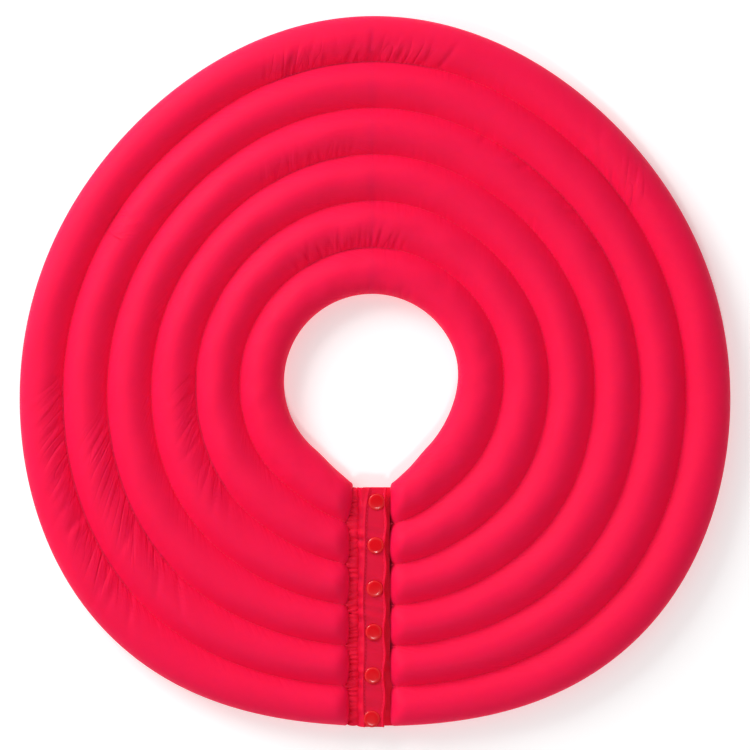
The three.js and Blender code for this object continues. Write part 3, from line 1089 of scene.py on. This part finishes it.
class Tree:
    """A shader or geometry node tree being built: adds nodes and links them by name."""

    def __init__(self, tree: bpy.types.NodeTree) -> None:
        """Wraps an empty node tree."""
        self.tree = tree

    def node(self, kind: str, **values: object) -> bpy.types.Node:
        """Adds a node.

        Args:
            kind: The node's type name.
            values: Node properties, or input values and sockets by name, with _ for a space.

        Returns:
            The new node.
        """
        made = self.tree.nodes.new(kind)
        for name, value in values.items():
            if hasattr(made, name) and not isinstance(value, bpy.types.NodeSocket):
                setattr(made, name, value)
            else:
                self.feed(made, name.replace("_", " "), value)
        return made

    def feed(self, made: bpy.types.Node, name: str, value: object) -> None:
        """Sets or links one input, found by name or, for a number in words, by place."""
        place = {"A": 0, "B": 1, "C": 2}.get(name)
        socket = made.inputs[place] if place is not None else made.inputs[name]
        if isinstance(value, bpy.types.NodeSocket):
            self.tree.links.new(value, socket)
        else:
            socket.default_value = value

    def math(self, operation: str, a: object, b: object = 0.0, c: object = 0.0) -> bpy.types.NodeSocket:
        """Adds a Math node and returns its output."""
        return self.node("ShaderNodeMath", operation=operation, A=a, B=b, C=c).outputs[0]

    def noise(self, vector: object, scale: float, detail: float = 3.0) -> bpy.types.NodeSocket:
        """Adds a Noise Texture and returns its value."""
        made = self.node("ShaderNodeTexNoise", Vector=vector, Scale=scale, Detail=detail)
        return made.outputs["Fac"]


# ---------------------------------------------------------------- repeated pieces


@dataclass(frozen=True)
class Stitch:
    """One stitch of thread: a short, plump strand that dives into the cloth at both ends."""

    length: float = 2.3 * MM
    radius: float = 0.21 * MM
    dive: float = 0.3 * MM
    slant: float = 0.0
    rings: int = 5
    sides: int = 6

    def build(self) -> bpy.types.Object:
        """Makes the stitch along X, around the origin."""
        share = np.linspace(-1, 1, self.rings)[None, :]
        turn = np.linspace(0, 2 * math.pi, self.sides, endpoint=False)[:, None]
        plump = self.radius * np.sqrt(1.08 - share**2)
        x = 0.5 * self.length * share * math.cos(self.slant) + 0 * turn
        y = 0.5 * self.length * share * math.sin(self.slant) + plump * np.cos(turn)
        z = -self.dive * share**2 + plump * np.sin(turn)
        return close_tube("stitch", np.stack([x, y, z], axis=-1))


class NodeSets:
    """The geometry node trees that place whatever repeats, each built once."""

    def __init__(self) -> None:
        """Builds both trees."""
        self.along = self.build_tree("along_path", True)
        self.at = self.build_tree("at_points", False)

    def build_tree(self, name: str, on_path: bool) -> bpy.types.NodeTree:
        """Builds a tree that puts a copy of a piece at every point.

        Args:
            name: The tree's name.
            on_path: Whether the points are first spread evenly along the given edges, and the
                copies turned to follow them. If not, each copy takes its point's "turn".

        Returns:
            The node tree, which ends in Realize Instances and Set Material.
        """
        group = bpy.data.node_groups.new(name, "GeometryNodeTree")
        face = group.interface
        face.new_socket("Geometry", in_out="INPUT", socket_type="NodeSocketGeometry")
        for label, kind, value in (
            ("Piece", "NodeSocketObject", None),
            ("Material", "NodeSocketMaterial", None),
            ("Pitch", "NodeSocketFloat", 3 * MM),
            ("Jitter", "NodeSocketFloat", 0.05),
            ("Seed", "NodeSocketInt", 1),
        ):
            socket = face.new_socket(label, in_out="INPUT", socket_type=kind)
            if value is not None:
                socket.default_value = value
        face.new_socket("Geometry", in_out="OUTPUT", socket_type="NodeSocketGeometry")
        tree = Tree(group)
        given = tree.node("NodeGroupInput")
        points = given.outputs["Geometry"]
        if on_path:
            curve = tree.node("GeometryNodeMeshToCurve", Mesh=points).outputs[0]
            spread = tree.node("GeometryNodeResampleCurve", Curve=curve)
            spread.mode = "LENGTH"
            tree.feed(spread, "Length", given.outputs["Pitch"])
            points = spread.outputs[0]
            tangent = tree.node("GeometryNodeInputTangent").outputs[0]
            turned = tree.node("FunctionNodeAlignRotationToVector", Vector=tangent)
            turned.axis = "X"
            turned.pivot_axis = "Z"
            turn = turned.outputs[0]
        else:
            named = tree.node("GeometryNodeInputNamedAttribute", data_type="FLOAT_VECTOR")
            named.inputs["Name"].default_value = "turn"
            turn = tree.node("FunctionNodeEulerToRotation", Euler=named.outputs[0]).outputs[0]
        back = tree.math("MULTIPLY", given.outputs["Jitter"], -1.0)
        shake = tree.node("FunctionNodeRandomValue", data_type="FLOAT_VECTOR", Min=back,
                          Max=given.outputs["Jitter"], Seed=given.outputs["Seed"])
        shaken = tree.node("FunctionNodeEulerToRotation", Euler=shake.outputs[0]).outputs[0]
        turn = tree.node("FunctionNodeRotateRotation", Rotation=turn, Rotate_By=shaken).outputs[0]
        source = tree.node("GeometryNodeObjectInfo", Object=given.outputs["Piece"])
        placed = tree.node("GeometryNodeInstanceOnPoints", Points=points,
                           Instance=source.outputs["Geometry"], Rotation=turn)
        real = tree.node("GeometryNodeRealizeInstances", Geometry=placed.outputs[0])
        dressed = tree.node("GeometryNodeSetMaterial", Geometry=real.outputs[0],
                            Material=given.outputs["Material"])
        out = tree.node("NodeGroupOutput")
        tree.feed(out, "Geometry", dressed.outputs[0])
        return group

    def place(self, tree: bpy.types.NodeTree, name: str, source: bpy.types.Object,
              values: dict) -> bpy.types.Object:
        """Runs a tree on a mesh of points or paths and keeps the result as a plain mesh.

        Args:
            tree: One of the node trees.
            name: The new piece's name.
            source: The mesh object that the tree starts from, which is used up.
            values: Values of the tree's inputs by name. The Piece is used up too.

        Returns:
            The new piece.
        """
        modifier = source.modifiers.new("place", "NODES")
        modifier.node_group = tree
        for item in tree.interface.items_tree:
            if item.in_out == "INPUT" and item.name in values:
                modifier[item.identifier] = values[item.name]
        evaluated = source.evaluated_get(bpy.context.evaluated_depsgraph_get())
        mesh = bpy.data.meshes.new_from_object(evaluated)
        mesh.name = name
        bpy.data.objects.remove(source)
        bpy.data.objects.remove(values["Piece"])
        return add_object(name, mesh)

    def stitches(self, name: str, paths: list, stitch: Stitch, pitch: float,
                 material: bpy.types.Material, jitter: float = 0.05) -> bpy.types.Object:
        """Sews rows of stitches.

        Args:
            name: The new piece's name.
            paths: One array of points for each row of stitching.
            stitch: The stitch's shape.
            pitch: Distance from stitch to stitch.
            material: The thread's finish.
            jitter: How far each stitch may turn by chance, in radians.

        Returns:
            The new piece.
        """
        points = np.concatenate(paths)
        edges, start = [], 0
        for path in paths:
            edges += [(start + step, start + step + 1) for step in range(len(path) - 1)]
            start += len(path)
        source = mesh_object("paths", points, [], edges)
        values = {"Piece": stitch.build(), "Material": material, "Pitch": pitch,
                  "Jitter": jitter, "Seed": 3}
        return self.place(self.along, name, source, values)

    def copies(self, name: str, model: bpy.types.Object, places: Array, turns: Array,
               material: bpy.types.Material) -> bpy.types.Object:
        """Puts a copy of a model at each place.

        Args:
            name: The new piece's name.
            model: The prototype, which is used up.
            places: One position each.
            turns: One Euler rotation each.
            material: The copies' finish.

        Returns:
            The new piece.
        """
        source = mesh_object("places", places, [])
        store(source.data, "turn", turns)
        values = {"Piece": model, "Material": material, "Jitter": 0.0, "Seed": 1}
        return self.place(self.at, name, source, values)


# ---------------------------------------------------------------- finishes


def new_group(name: str, inputs: dict, outputs: dict) -> tuple:
    """Starts a shader node group.

    Args:
        name: The group's name.
        inputs: Default values by input name. A None is a vector.
        outputs: Socket types by output name.

    Returns:
        The group, its Tree helper, its input node and its output node.
    """
    group = bpy.data.node_groups.new(name, "ShaderNodeTree")
    for label, value in inputs.items():
        kind = "NodeSocketVector" if value is None else "NodeSocketFloat"
        kind = "NodeSocketColor" if isinstance(value, tuple) else kind
        socket = group.interface.new_socket(label, in_out="INPUT", socket_type=kind)
        if value is not None:
            socket.default_value = value
    for label, kind in outputs.items():
        group.interface.new_socket(label, in_out="OUTPUT", socket_type=kind)
    tree = Tree(group)
    return group, tree, tree.node("NodeGroupInput"), tree.node("NodeGroupOutput")


class Effects:
    """The shader groups that several finishes share, each built once."""

    def __init__(self) -> None:
        """Builds every group."""
        self.weave = self.build_weave()
        self.mottle = self.build_mottle()
        self.folds = self.build_folds()

    def build_weave(self) -> bpy.types.NodeTree:
        """Plain weave: warp over weft, with a little unevenness from thread to thread."""
        group, tree, given, out = new_group(
            "plain_weave",
            {"Vector": None, "Threads": 2600.0, "Slub": 0.25},
            {"Height": "NodeSocketFloat", "Tone": "NodeSocketFloat"},
        )
        place = tree.node("ShaderNodeVectorMath", operation="SCALE", Vector=given.outputs["Vector"])
        tree.feed(place, "Scale", given.outputs["Threads"])
        axes = tree.node("ShaderNodeSeparateXYZ", Vector=place.outputs[0])
        warp = tree.math("SINE", tree.math("MULTIPLY", axes.outputs[0], math.pi))
        weft = tree.math("SINE", tree.math("MULTIPLY", axes.outputs[1], math.pi))
        cross = tree.math("MULTIPLY", warp, weft)
        slub = tree.noise(place.outputs[0], 0.35, 2.0)
        uneven = tree.math("MULTIPLY", tree.math("SUBTRACT", slub, 0.5), given.outputs["Slub"])
        height = tree.math("MULTIPLY_ADD", cross, 0.5, uneven)
        tree.feed(out, "Height", height)
        tree.feed(out, "Tone", tree.math("MULTIPLY_ADD", height, 0.5, 0.5))
        return group

    def build_folds(self) -> bpy.types.NodeTree:
        """Fine fold lines of drawn cloth: sharp furrows that run across the given direction."""
        group, tree, given, out = new_group(
            "fold_lines",
            {"Vector": None, "Across": 85.0, "Along": 20.0, "Amount": 1.0},
            {"Height": "NodeSocketFloat"},
        )
        scale = tree.node("ShaderNodeCombineXYZ", X=given.outputs["Across"], Y=given.outputs["Along"])
        place = tree.node("ShaderNodeVectorMath", operation="MULTIPLY", A=given.outputs["Vector"],
                          B=scale.outputs[0])
        total = 0.0
        for factor, share in ((1.0, 0.85), (2.3, 0.15)):
            nearer = tree.node("ShaderNodeVectorMath", operation="SCALE", Vector=place.outputs[0])
            tree.feed(nearer, "Scale", factor)
            swing = tree.math("SUBTRACT", tree.noise(nearer.outputs[0], 1.0, 1.0), 0.5)
            off = tree.math("ABSOLUTE", swing)
            flat = tree.math("MINIMUM", tree.math("MULTIPLY", off, 9.0), 1.0)
            total = tree.math("MULTIPLY_ADD", tree.math("POWER", flat, 0.6), share, total)
        tree.feed(out, "Height", tree.math("MULTIPLY", total, given.outputs["Amount"]))
        return group

    def build_mottle(self) -> bpy.types.NodeTree:
        """Slow and fine unevenness of colour and gloss, as handled goods have."""
        group, tree, given, out = new_group(
            "mottle",
            {"Vector": None, "Color": (0.8, 0.8, 0.8, 1.0), "Scale": 30.0, "Amount": 0.1,
             "Roughness": 0.5, "Spread": 0.1},
            {"Color": "NodeSocketColor", "Roughness": "NodeSocketFloat", "Mask": "NodeSocketFloat"},
        )
        slow = tree.noise(given.outputs["Vector"], given.outputs["Scale"], 4.0)
        fine_scale = tree.math("MULTIPLY", given.outputs["Scale"], 11.0)
        fine = tree.noise(given.outputs["Vector"], fine_scale, 2.0)
        mask = tree.math("MULTIPLY_ADD", fine, 0.35, tree.math("MULTIPLY", slow, 0.65))
        swing = tree.math("SUBTRACT", mask, 0.5)
        tone = tree.math("MULTIPLY_ADD", swing, given.outputs["Amount"], 1.0)
        scaled = tree.node("ShaderNodeVectorMath", operation="SCALE", Vector=given.outputs["Color"])
        tree.feed(scaled, "Scale", tone)
        rough = tree.math("MULTIPLY_ADD", swing, given.outputs["Spread"], given.outputs["Roughness"])
        tree.feed(out, "Color", scaled.outputs[0])
        tree.feed(out, "Roughness", rough)
        tree.feed(out, "Mask", mask)
        return group


@dataclass(frozen=True)
class Finish:
    """What every finish has: a colour and a gloss, both uneven, and a relief of its own."""

    name: str
    color: tuple
    roughness: float
    spread: float
    patches: float
    tone: float
    sheen: float = 0.0
    specular: float = 0.5

    def relief(self, tree: Tree, place: bpy.types.Node, effects: Effects) -> bpy.types.NodeSocket:
        """Adds the surface's fine relief.

        Args:
            tree: The material's tree.
            place: Its Texture Coordinate node.
            effects: The shared shader groups.

        Returns:
            The normal to shade with.
        """
        raise NotImplementedError

    def glaze(self, shader: bpy.types.Node) -> None:
        """Sets whatever else this finish's shader needs. Most need nothing."""

    def build(self, effects: Effects) -> bpy.types.Material:
        """Makes the material.

        Args:
            effects: The shared shader groups.

        Returns:
            The finished material.
        """
        material = bpy.data.materials.new(self.name)
        material.use_nodes = True
        shader = material.node_tree.nodes["Principled BSDF"]
        tree = Tree(material.node_tree)
        place = tree.node("ShaderNodeTexCoord")
        mottle = tree.node("ShaderNodeGroup", node_tree=effects.mottle, Vector=place.outputs["Object"],
                           Color=(*self.color, 1), Scale=self.patches, Amount=self.tone,
                           Roughness=self.roughness, Spread=self.spread)
        tree.feed(shader, "Base Color", mottle.outputs["Color"])
        tree.feed(shader, "Roughness", mottle.outputs["Roughness"])
        tree.feed(shader, "Normal", self.relief(tree, place, effects))
        shader.inputs["Sheen Weight"].default_value = self.sheen
        shader.inputs["Specular IOR Level"].default_value = self.specular
        self.glaze(shader)
        return material


@dataclass(frozen=True)
class ClothFinish(Finish):
    """Thin, tightly woven polyester with a soft sheen, as the cover and the placket are."""

    roughness: float = 0.62
    spread: float = 0.16
    patches: float = 16.0
    tone: float = 0.16
    sheen: float = 0.04
    specular: float = 0.14
    pucker: float = 0.55
    weave: float = 0.12
    glow: float = 0.4

    def relief(self, tree: Tree, place: bpy.types.Node, effects: Effects) -> bpy.types.NodeSocket:
        """Adds the weave, the puckers beside the seams and the folds of drawn cloth.

        Args:
            tree: The material's tree.
            place: Its Texture Coordinate node.
            effects: The shared shader groups.

        Returns:
            The normal to shade with.
        """
        cloth = place.outputs["UV"]
        weave = tree.node("ShaderNodeGroup", node_tree=effects.weave, Vector=cloth,
                          Threads=2600.0, Slub=0.3)
        fine = tree.node("ShaderNodeBump", Height=weave.outputs["Height"], Strength=self.weave,
                         Distance=0.1 * MM)
        drawn = tree.node("ShaderNodeMapping", Vector=cloth, Scale=(260.0, 46.0, 46.0))
        climb = tree.node("ShaderNodeAttribute", attribute_name="climb").outputs["Fac"]
        near_seam = tree.math("POWER", tree.math("SUBTRACT", 1.0, climb), 0.8)
        mask = tree.math("MULTIPLY", near_seam, self.pucker)
        height = tree.math("MULTIPLY", tree.noise(drawn.outputs[0], 1.0, 3.0), mask)
        puckered = tree.node("ShaderNodeBump", Height=height, Strength=1.0, Distance=1.6 * MM,
                             Normal=fine.outputs[0])
        if not self.pucker:
            return puckered.outputs[0]
        drawn = tree.node("ShaderNodeAttribute", attribute_name="drawn").outputs["Vector"]
        slack = tree.node("ShaderNodeAttribute", attribute_name="slack").outputs["Fac"]
        folds = tree.node("ShaderNodeGroup", node_tree=effects.folds, Vector=drawn, Amount=slack)
        folded = tree.node("ShaderNodeBump", Height=folds.outputs[0], Strength=1.0,
                           Distance=0.55 * MM, Normal=puckered.outputs[0])
        return folded.outputs[0]

    def glaze(self, shader: bpy.types.Node) -> None:
        """Lets light glow through the thin cloth, and tints its sheen."""
        shader.inputs["Sheen Roughness"].default_value = 0.4
        shader.inputs["Sheen Tint"].default_value = (1.0, 0.35, 0.5, 1)
        shader.inputs["Subsurface Weight"].default_value = self.glow
        shader.inputs["Subsurface Radius"].default_value = (1.0, 0.04, 0.12)
        shader.inputs["Subsurface Scale"].default_value = 5 * MM


@dataclass(frozen=True)
class ResinFinish(Finish):
    """Glossy moulded resin, with faint flow marks and handling scuffs."""

    roughness: float = 0.2
    spread: float = 0.3
    patches: float = 120.0
    tone: float = 0.2

    def relief(self, tree: Tree, place: bpy.types.Node, effects: Effects) -> bpy.types.NodeSocket:
        """The faintly uneven skin of moulded resin."""
        skin = tree.noise(place.outputs["Object"], 900.0, 2.0)
        return tree.node("ShaderNodeBump", Height=skin, Strength=0.12, Distance=0.05 * MM).outputs[0]


@dataclass(frozen=True)
class ThreadFinish(Finish):
    """Spun polyester sewing thread, with its twist showing."""

    roughness: float = 0.6
    spread: float = 0.2
    patches: float = 300.0
    tone: float = 0.3
    sheen: float = 0.08
    specular: float = 0.2
    twist: float = 2400.0

    def relief(self, tree: Tree, place: bpy.types.Node, effects: Effects) -> bpy.types.NodeSocket:
        """The thread's plies, as slanting bands."""
        ply = tree.node("ShaderNodeTexWave", Vector=place.outputs["Object"],
                        Scale=self.twist / math.tau, bands_direction="DIAGONAL").outputs["Fac"]
        return tree.node("ShaderNodeBump", Height=ply, Strength=0.5, Distance=0.08 * MM).outputs[0]


@dataclass(frozen=True)
class FibreFinish(Finish):
    """Loose white polyester fibre: soft, crimped strands."""

    roughness: float = 0.92
    spread: float = 0.1
    patches: float = 60.0
    tone: float = 0.25
    sheen: float = 0.6

    def relief(self, tree: Tree, place: bpy.types.Node, effects: Effects) -> bpy.types.NodeSocket:
        """Strands that run one way."""
        drawn = tree.node("ShaderNodeMapping", Vector=place.outputs["Object"],
                          Scale=(1400.0, 500.0, 900.0))
        strands = tree.noise(drawn.outputs[0], 1.0, 4.0)
        return tree.node("ShaderNodeBump", Height=strands, Strength=0.7, Distance=0.5 * MM).outputs[0]


# ---------------------------------------------------------------- studio


@dataclass
class Studio:
    """Pale floor, one soft key light from the upper left, a broad fill and the camera."""

    view_centre: tuple = (2.2 * MM, 5.1 * MM, 15 * MM)
    view_width: float = 551 * MM
    lens: float = 100.0
    sensor: float = 36.0
    key_place: tuple = (-1.05, 0.95, 0.85)
    key_size: float = 0.9
    key_power: float = 20.5
    fill_place: tuple = (0.1, -0.85, 1.45)
    fill_size: float = 0.24
    fill_power: float = 5.0
    floor_half: float = 4.0
    floor_glow: float = 0.27
    world_strength: float = 0.53
    bright_side: tuple = (-1.0, 0.75, 0.0)
    lean: float = 0.4

    def area(self, name: str, place: tuple, size: float, power: float) -> None:
        """Adds a square area light that looks at the collar."""
        data = bpy.data.lights.new(name, "AREA")
        data.size = size
        data.energy = power
        light = add_object(name, data)
        light.location = place
        light.rotation_euler = (-Vector(place)).to_track_quat("-Z", "Y").to_euler()

    def floor(self) -> None:
        """Makes the pale floor, which glows a little so that it stays white."""
        half = self.floor_half
        corners = np.array([(-half, -half, 0), (half, -half, 0), (half, half, 0), (-half, half, 0)])
        floor = mesh_object("floor", corners, [(0, 1, 2, 3)])
        material = bpy.data.materials.new("pale_floor")
        material.use_nodes = True
        shader = material.node_tree.nodes["Principled BSDF"]
        for name, value in (("Base Color", (0.97, 0.97, 0.97, 1)), ("Roughness", 0.9),
                            ("Emission Color", (1, 1, 1, 1)), ("Emission Strength", self.floor_glow)):
            shader.inputs[name].default_value = value
        floor.data.materials.append(material)

    def sky(self) -> None:
        """Makes an even white sky, dark straight overhead and brighter to one side."""
        world = bpy.data.worlds.new("studio")
        world.use_nodes = True
        sky = Tree(world.node_tree)
        place = sky.node("ShaderNodeTexCoord").outputs["Generated"]
        height = sky.node("ShaderNodeSeparateXYZ", Vector=place).outputs[2]
        overhead = sky.node("ShaderNodeMapRange", interpolation_type="SMOOTHSTEP", Value=height)
        for name, value in (("From Min", 0.82), ("From Max", 0.97), ("To Min", 1.0), ("To Max", 0.04)):
            overhead.inputs[name].default_value = value
        toward = sky.node("ShaderNodeVectorMath", operation="DOT_PRODUCT", A=place,
                          B=Vector(self.bright_side).normalized())
        lean = sky.math("MULTIPLY_ADD", toward.outputs["Value"], self.lean, 1.0)
        lean = sky.math("MULTIPLY", lean, self.world_strength)
        backdrop = world.node_tree.nodes["Background"]
        backdrop.inputs["Color"].default_value = (1, 1, 1, 1)
        sky.feed(backdrop, "Strength", sky.math("MULTIPLY", overhead.outputs[0], lean))
        bpy.context.scene.world = world

    def build(self) -> None:
        """Makes the floor, the lights, the sky and the camera."""
        self.floor()
        self.area("key_light", self.key_place, self.key_size, self.key_power)
        self.area("fill_light", self.fill_place, self.fill_size, self.fill_power)
        self.sky()
        bpy.context.scene.view_settings.view_transform = "Standard"
        data = bpy.data.cameras.new("camera")
        data.lens = self.lens
        data.sensor_width = self.sensor
        camera = add_object("camera", data)
        distance = self.view_width * self.lens / self.sensor
        camera.location = Vector(self.view_centre) + Vector((0, 0, distance))
        bpy.context.scene.camera = camera


# ---------------------------------------------------------------- the collar


# Each run's roll, flank, first and last angle in degrees, count, depth, width and length in
# millimetres, and slant.
CREASE_RUNS = (
    (5, Flank.INNER, 110, 78, 9, 1.9, 1.4, 17, -0.35),
    (5, Flank.INNER, 178, 222, 17, 1.4, 1.8, 20, 0.85),
    (4, Flank.INNER, 186, 224, 13, 1.2, 1.8, 24, 1.15),
    (4, Flank.OUTER, 150, 146, 1, 1.0, 1.4, 26, -0.9),
    (3, Flank.INNER, 118, 94, 9, 0.8, 1.8, 14, -0.3),
    (2, Flank.INNER, 176, 218, 15, 1.1, 1.6, 18, 0.95),
    (1, Flank.INNER, 122, 78, 16, 1.0, 1.5, 13, -0.2),
    (0, Flank.INNER, 108, 66, 12, 0.8, 1.5, 11, 0.0),
    (5, Flank.INNER, 47, 34, 3, 1.2, 1.6, 30, 0.9),
    (3, Flank.OUTER, 62, 20, 7, 0.7, 2.2, 14, 0.6),
)


@dataclass
class Collar:
    """The whole collar: makes every piece and dresses it; the closure's seam, band, stitching and snaps
    hang on their CAD bodies.
    """

    plan: RingPlan
    closure: ClosurePlan
    nodes: NodeSets
    fold_start: tuple = (0, 0, 13.5 * MM)
    fold_end: tuple = (0, -100 * MM, 13.5 * MM)
    hinge_start: tuple = (-10.2 * MM, -165 * MM, 17.3 * MM)
    hinge_end: tuple = (-6.6 * MM, -165 * MM, 17.3 * MM)
    seam_pitch: float = 3.0 * MM
    seam_heights: tuple = (17.1 * MM, 11.4 * MM)
    hem_pitch: float = 2.9 * MM
    overlock_x: float = -14.2 * MM

    def bend(self, piece: bpy.types.Object) -> None:
        """Bakes a piece's placement into its mesh, which then stands at the origin."""
        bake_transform(piece)

    def dress(self, piece: bpy.types.Object, material: bpy.types.Material) -> None:
        """Gives a piece its finish, unless it has one already, and logs it."""
        if not piece.data.materials:
            piece.data.materials.append(material)
        LOG.info("made %s with %d faces", piece.name, len(piece.data.polygons))

    def build_covers(self, cloth: bpy.types.Material) -> None:
        """Makes the two halves of the quilted cover."""
        runs = [CreaseField.from_row(row) for row in CREASE_RUNS]
        for side, piece in QuiltedCover(self.plan).build(runs).items():
            self.bend(piece)
            rear = "face_panel_rear" if side is Side.LEFT else "lining_panel_rear"
            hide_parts(f"face_panel_{side.value}", f"lining_panel_{side.value}", rear)
            self.dress(piece, cloth)

    def build_fillings(self, fibre: bpy.types.Material) -> None:
        """Makes the fibre fillings, two to a roll."""
        filling = FibreFilling(self.plan)
        for side in Side:
            for roll in range(self.plan.rolls):
                piece = filling.build(roll, side)
                self.bend(piece)
                nodes = [f"filling_{roll + 1}_{side.value}"]
                if side is Side.LEFT:
                    nodes.append(f"filling_{roll + 1}_rear")
                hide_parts(*nodes)
                self.dress(piece, fibre)

    def build_seams(self, thread: bpy.types.Material) -> None:
        """Sews the channel seams on the face and the lining."""
        share = np.linspace(0.004, 1, 160)
        for side in Side:
            paths = []
            for ring in range(1, self.plan.rolls):
                angle = self.plan.side_angle(np.array([float(ring)]), share, side)
                radius = self.plan.radius(ring, angle)
                x, y = radius * np.cos(angle), radius * np.sin(angle)
                for height in self.seam_heights:
                    paths.append(np.stack([x, y, np.full_like(x, height)], axis=-1))
            piece = self.nodes.stitches(f"channel_stitching_{side.value}", paths, Stitch(),
                                        self.seam_pitch, thread)
            self.bend(piece)
            self.dress(piece, thread)

    def build_closure(self, cloth: bpy.types.Material, thread: bpy.types.Material) -> None:
        """Makes the gathered seam and both plackets, with their topstitching."""
        seam = GatheredSeam(self.closure)
        flap = SnapFlap("over_placket_cloth", self.closure)
        band = ClothStrip("under_placket_cloth", self.closure, hem_rise=0.5 * MM, droop=0.0, seed=9)
        for strip, body, node, slot in (
            (seam, "left_front", "gathered_end_seam", "seam_thread"),
            (flap, "snap_placket", "over_placket", "cover_fabric"),
            (band, "right_front", "under_placket", "cover_fabric"),
        ):
            piece = strip.build()
            if strip is flap:
                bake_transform(piece)
            else:
                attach(piece, body)
            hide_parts(node)
            self.dress(piece, cloth)
        hem = flap.hem_width * 1.1
        rows = [flap.stitch_path(hem), flap.stitch_path(-hem)]
        top = self.nodes.stitches("placket_topstitching", rows, Stitch(), self.hem_pitch, thread)
        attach(top, "snap_placket")
        self.dress(top, thread)
        loops = [seam.loop_path(self.overlock_x)]
        stitch = Stitch(length=4.2 * MM, radius=0.2 * MM, dive=0.7 * MM, slant=1.15)
        overlock = self.nodes.stitches("overlock_stitching", loops, stitch, self.hem_pitch, thread, 0.4)
        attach(overlock, "left_front")
        self.dress(overlock, thread)

    def build_snaps(self, resin: bpy.types.Material) -> None:
        """Makes the four rows of resin snap parts."""
        snaps = Snaps(self.closure)
        random = np.random.default_rng(4)
        tilts = random.uniform(-snaps.tilt, snaps.tilt, (self.closure.snaps, 3))
        for name, body, profile, height, over, prefix in snaps.rows():
            tilt = tilts if name == "snap_caps" else np.zeros_like(tilts)
            turns = tilt + np.array([over, 0, 0])
            model = snaps.turned(f"{prefix}_model", profile)
            piece = self.nodes.copies(name, model, self.closure.snap_places(height), turns, resin)
            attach(piece, body)
            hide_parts(*(f"{prefix}_{number + 1}" for number in range(self.closure.snaps)))
            self.dress(piece, resin)


def main() -> None:
    """Builds the studio and the collar, piece by piece."""
    logging.basicConfig(level=logging.INFO, format="%(message)s")
    effects = Effects()
    Studio().build()
    collar = Collar(RingPlan(), ClosurePlan(), NodeSets())
    cloth = ClothFinish("cover_cloth", (0.97, 0.0048, 0.069)).build(effects)
    # The closure's cloth (gathered seam, flap and band) is the cover's cloth painted darker: painted
    # shade for the trough along the placket, which lies lower than the rolls.
    shaded_trim = ClothFinish("placket_cloth", (0.86, 0.005, 0.046), pucker=0.0).build(effects)
    thread = ThreadFinish("red_thread", (0.95, 0.02, 0.09)).build(effects)
    resin = ResinFinish("red_resin", (0.80, 0.004, 0.012)).build(effects)
    fibre = FibreFinish("white_fibre", (0.86, 0.86, 0.84)).build(effects)
    collar.build_covers(cloth)
    collar.build_fillings(fibre)
    collar.build_seams(thread)
    collar.build_closure(shaded_trim, thread)
    collar.build_snaps(resin)


if __name__ == "__main__":
    main()
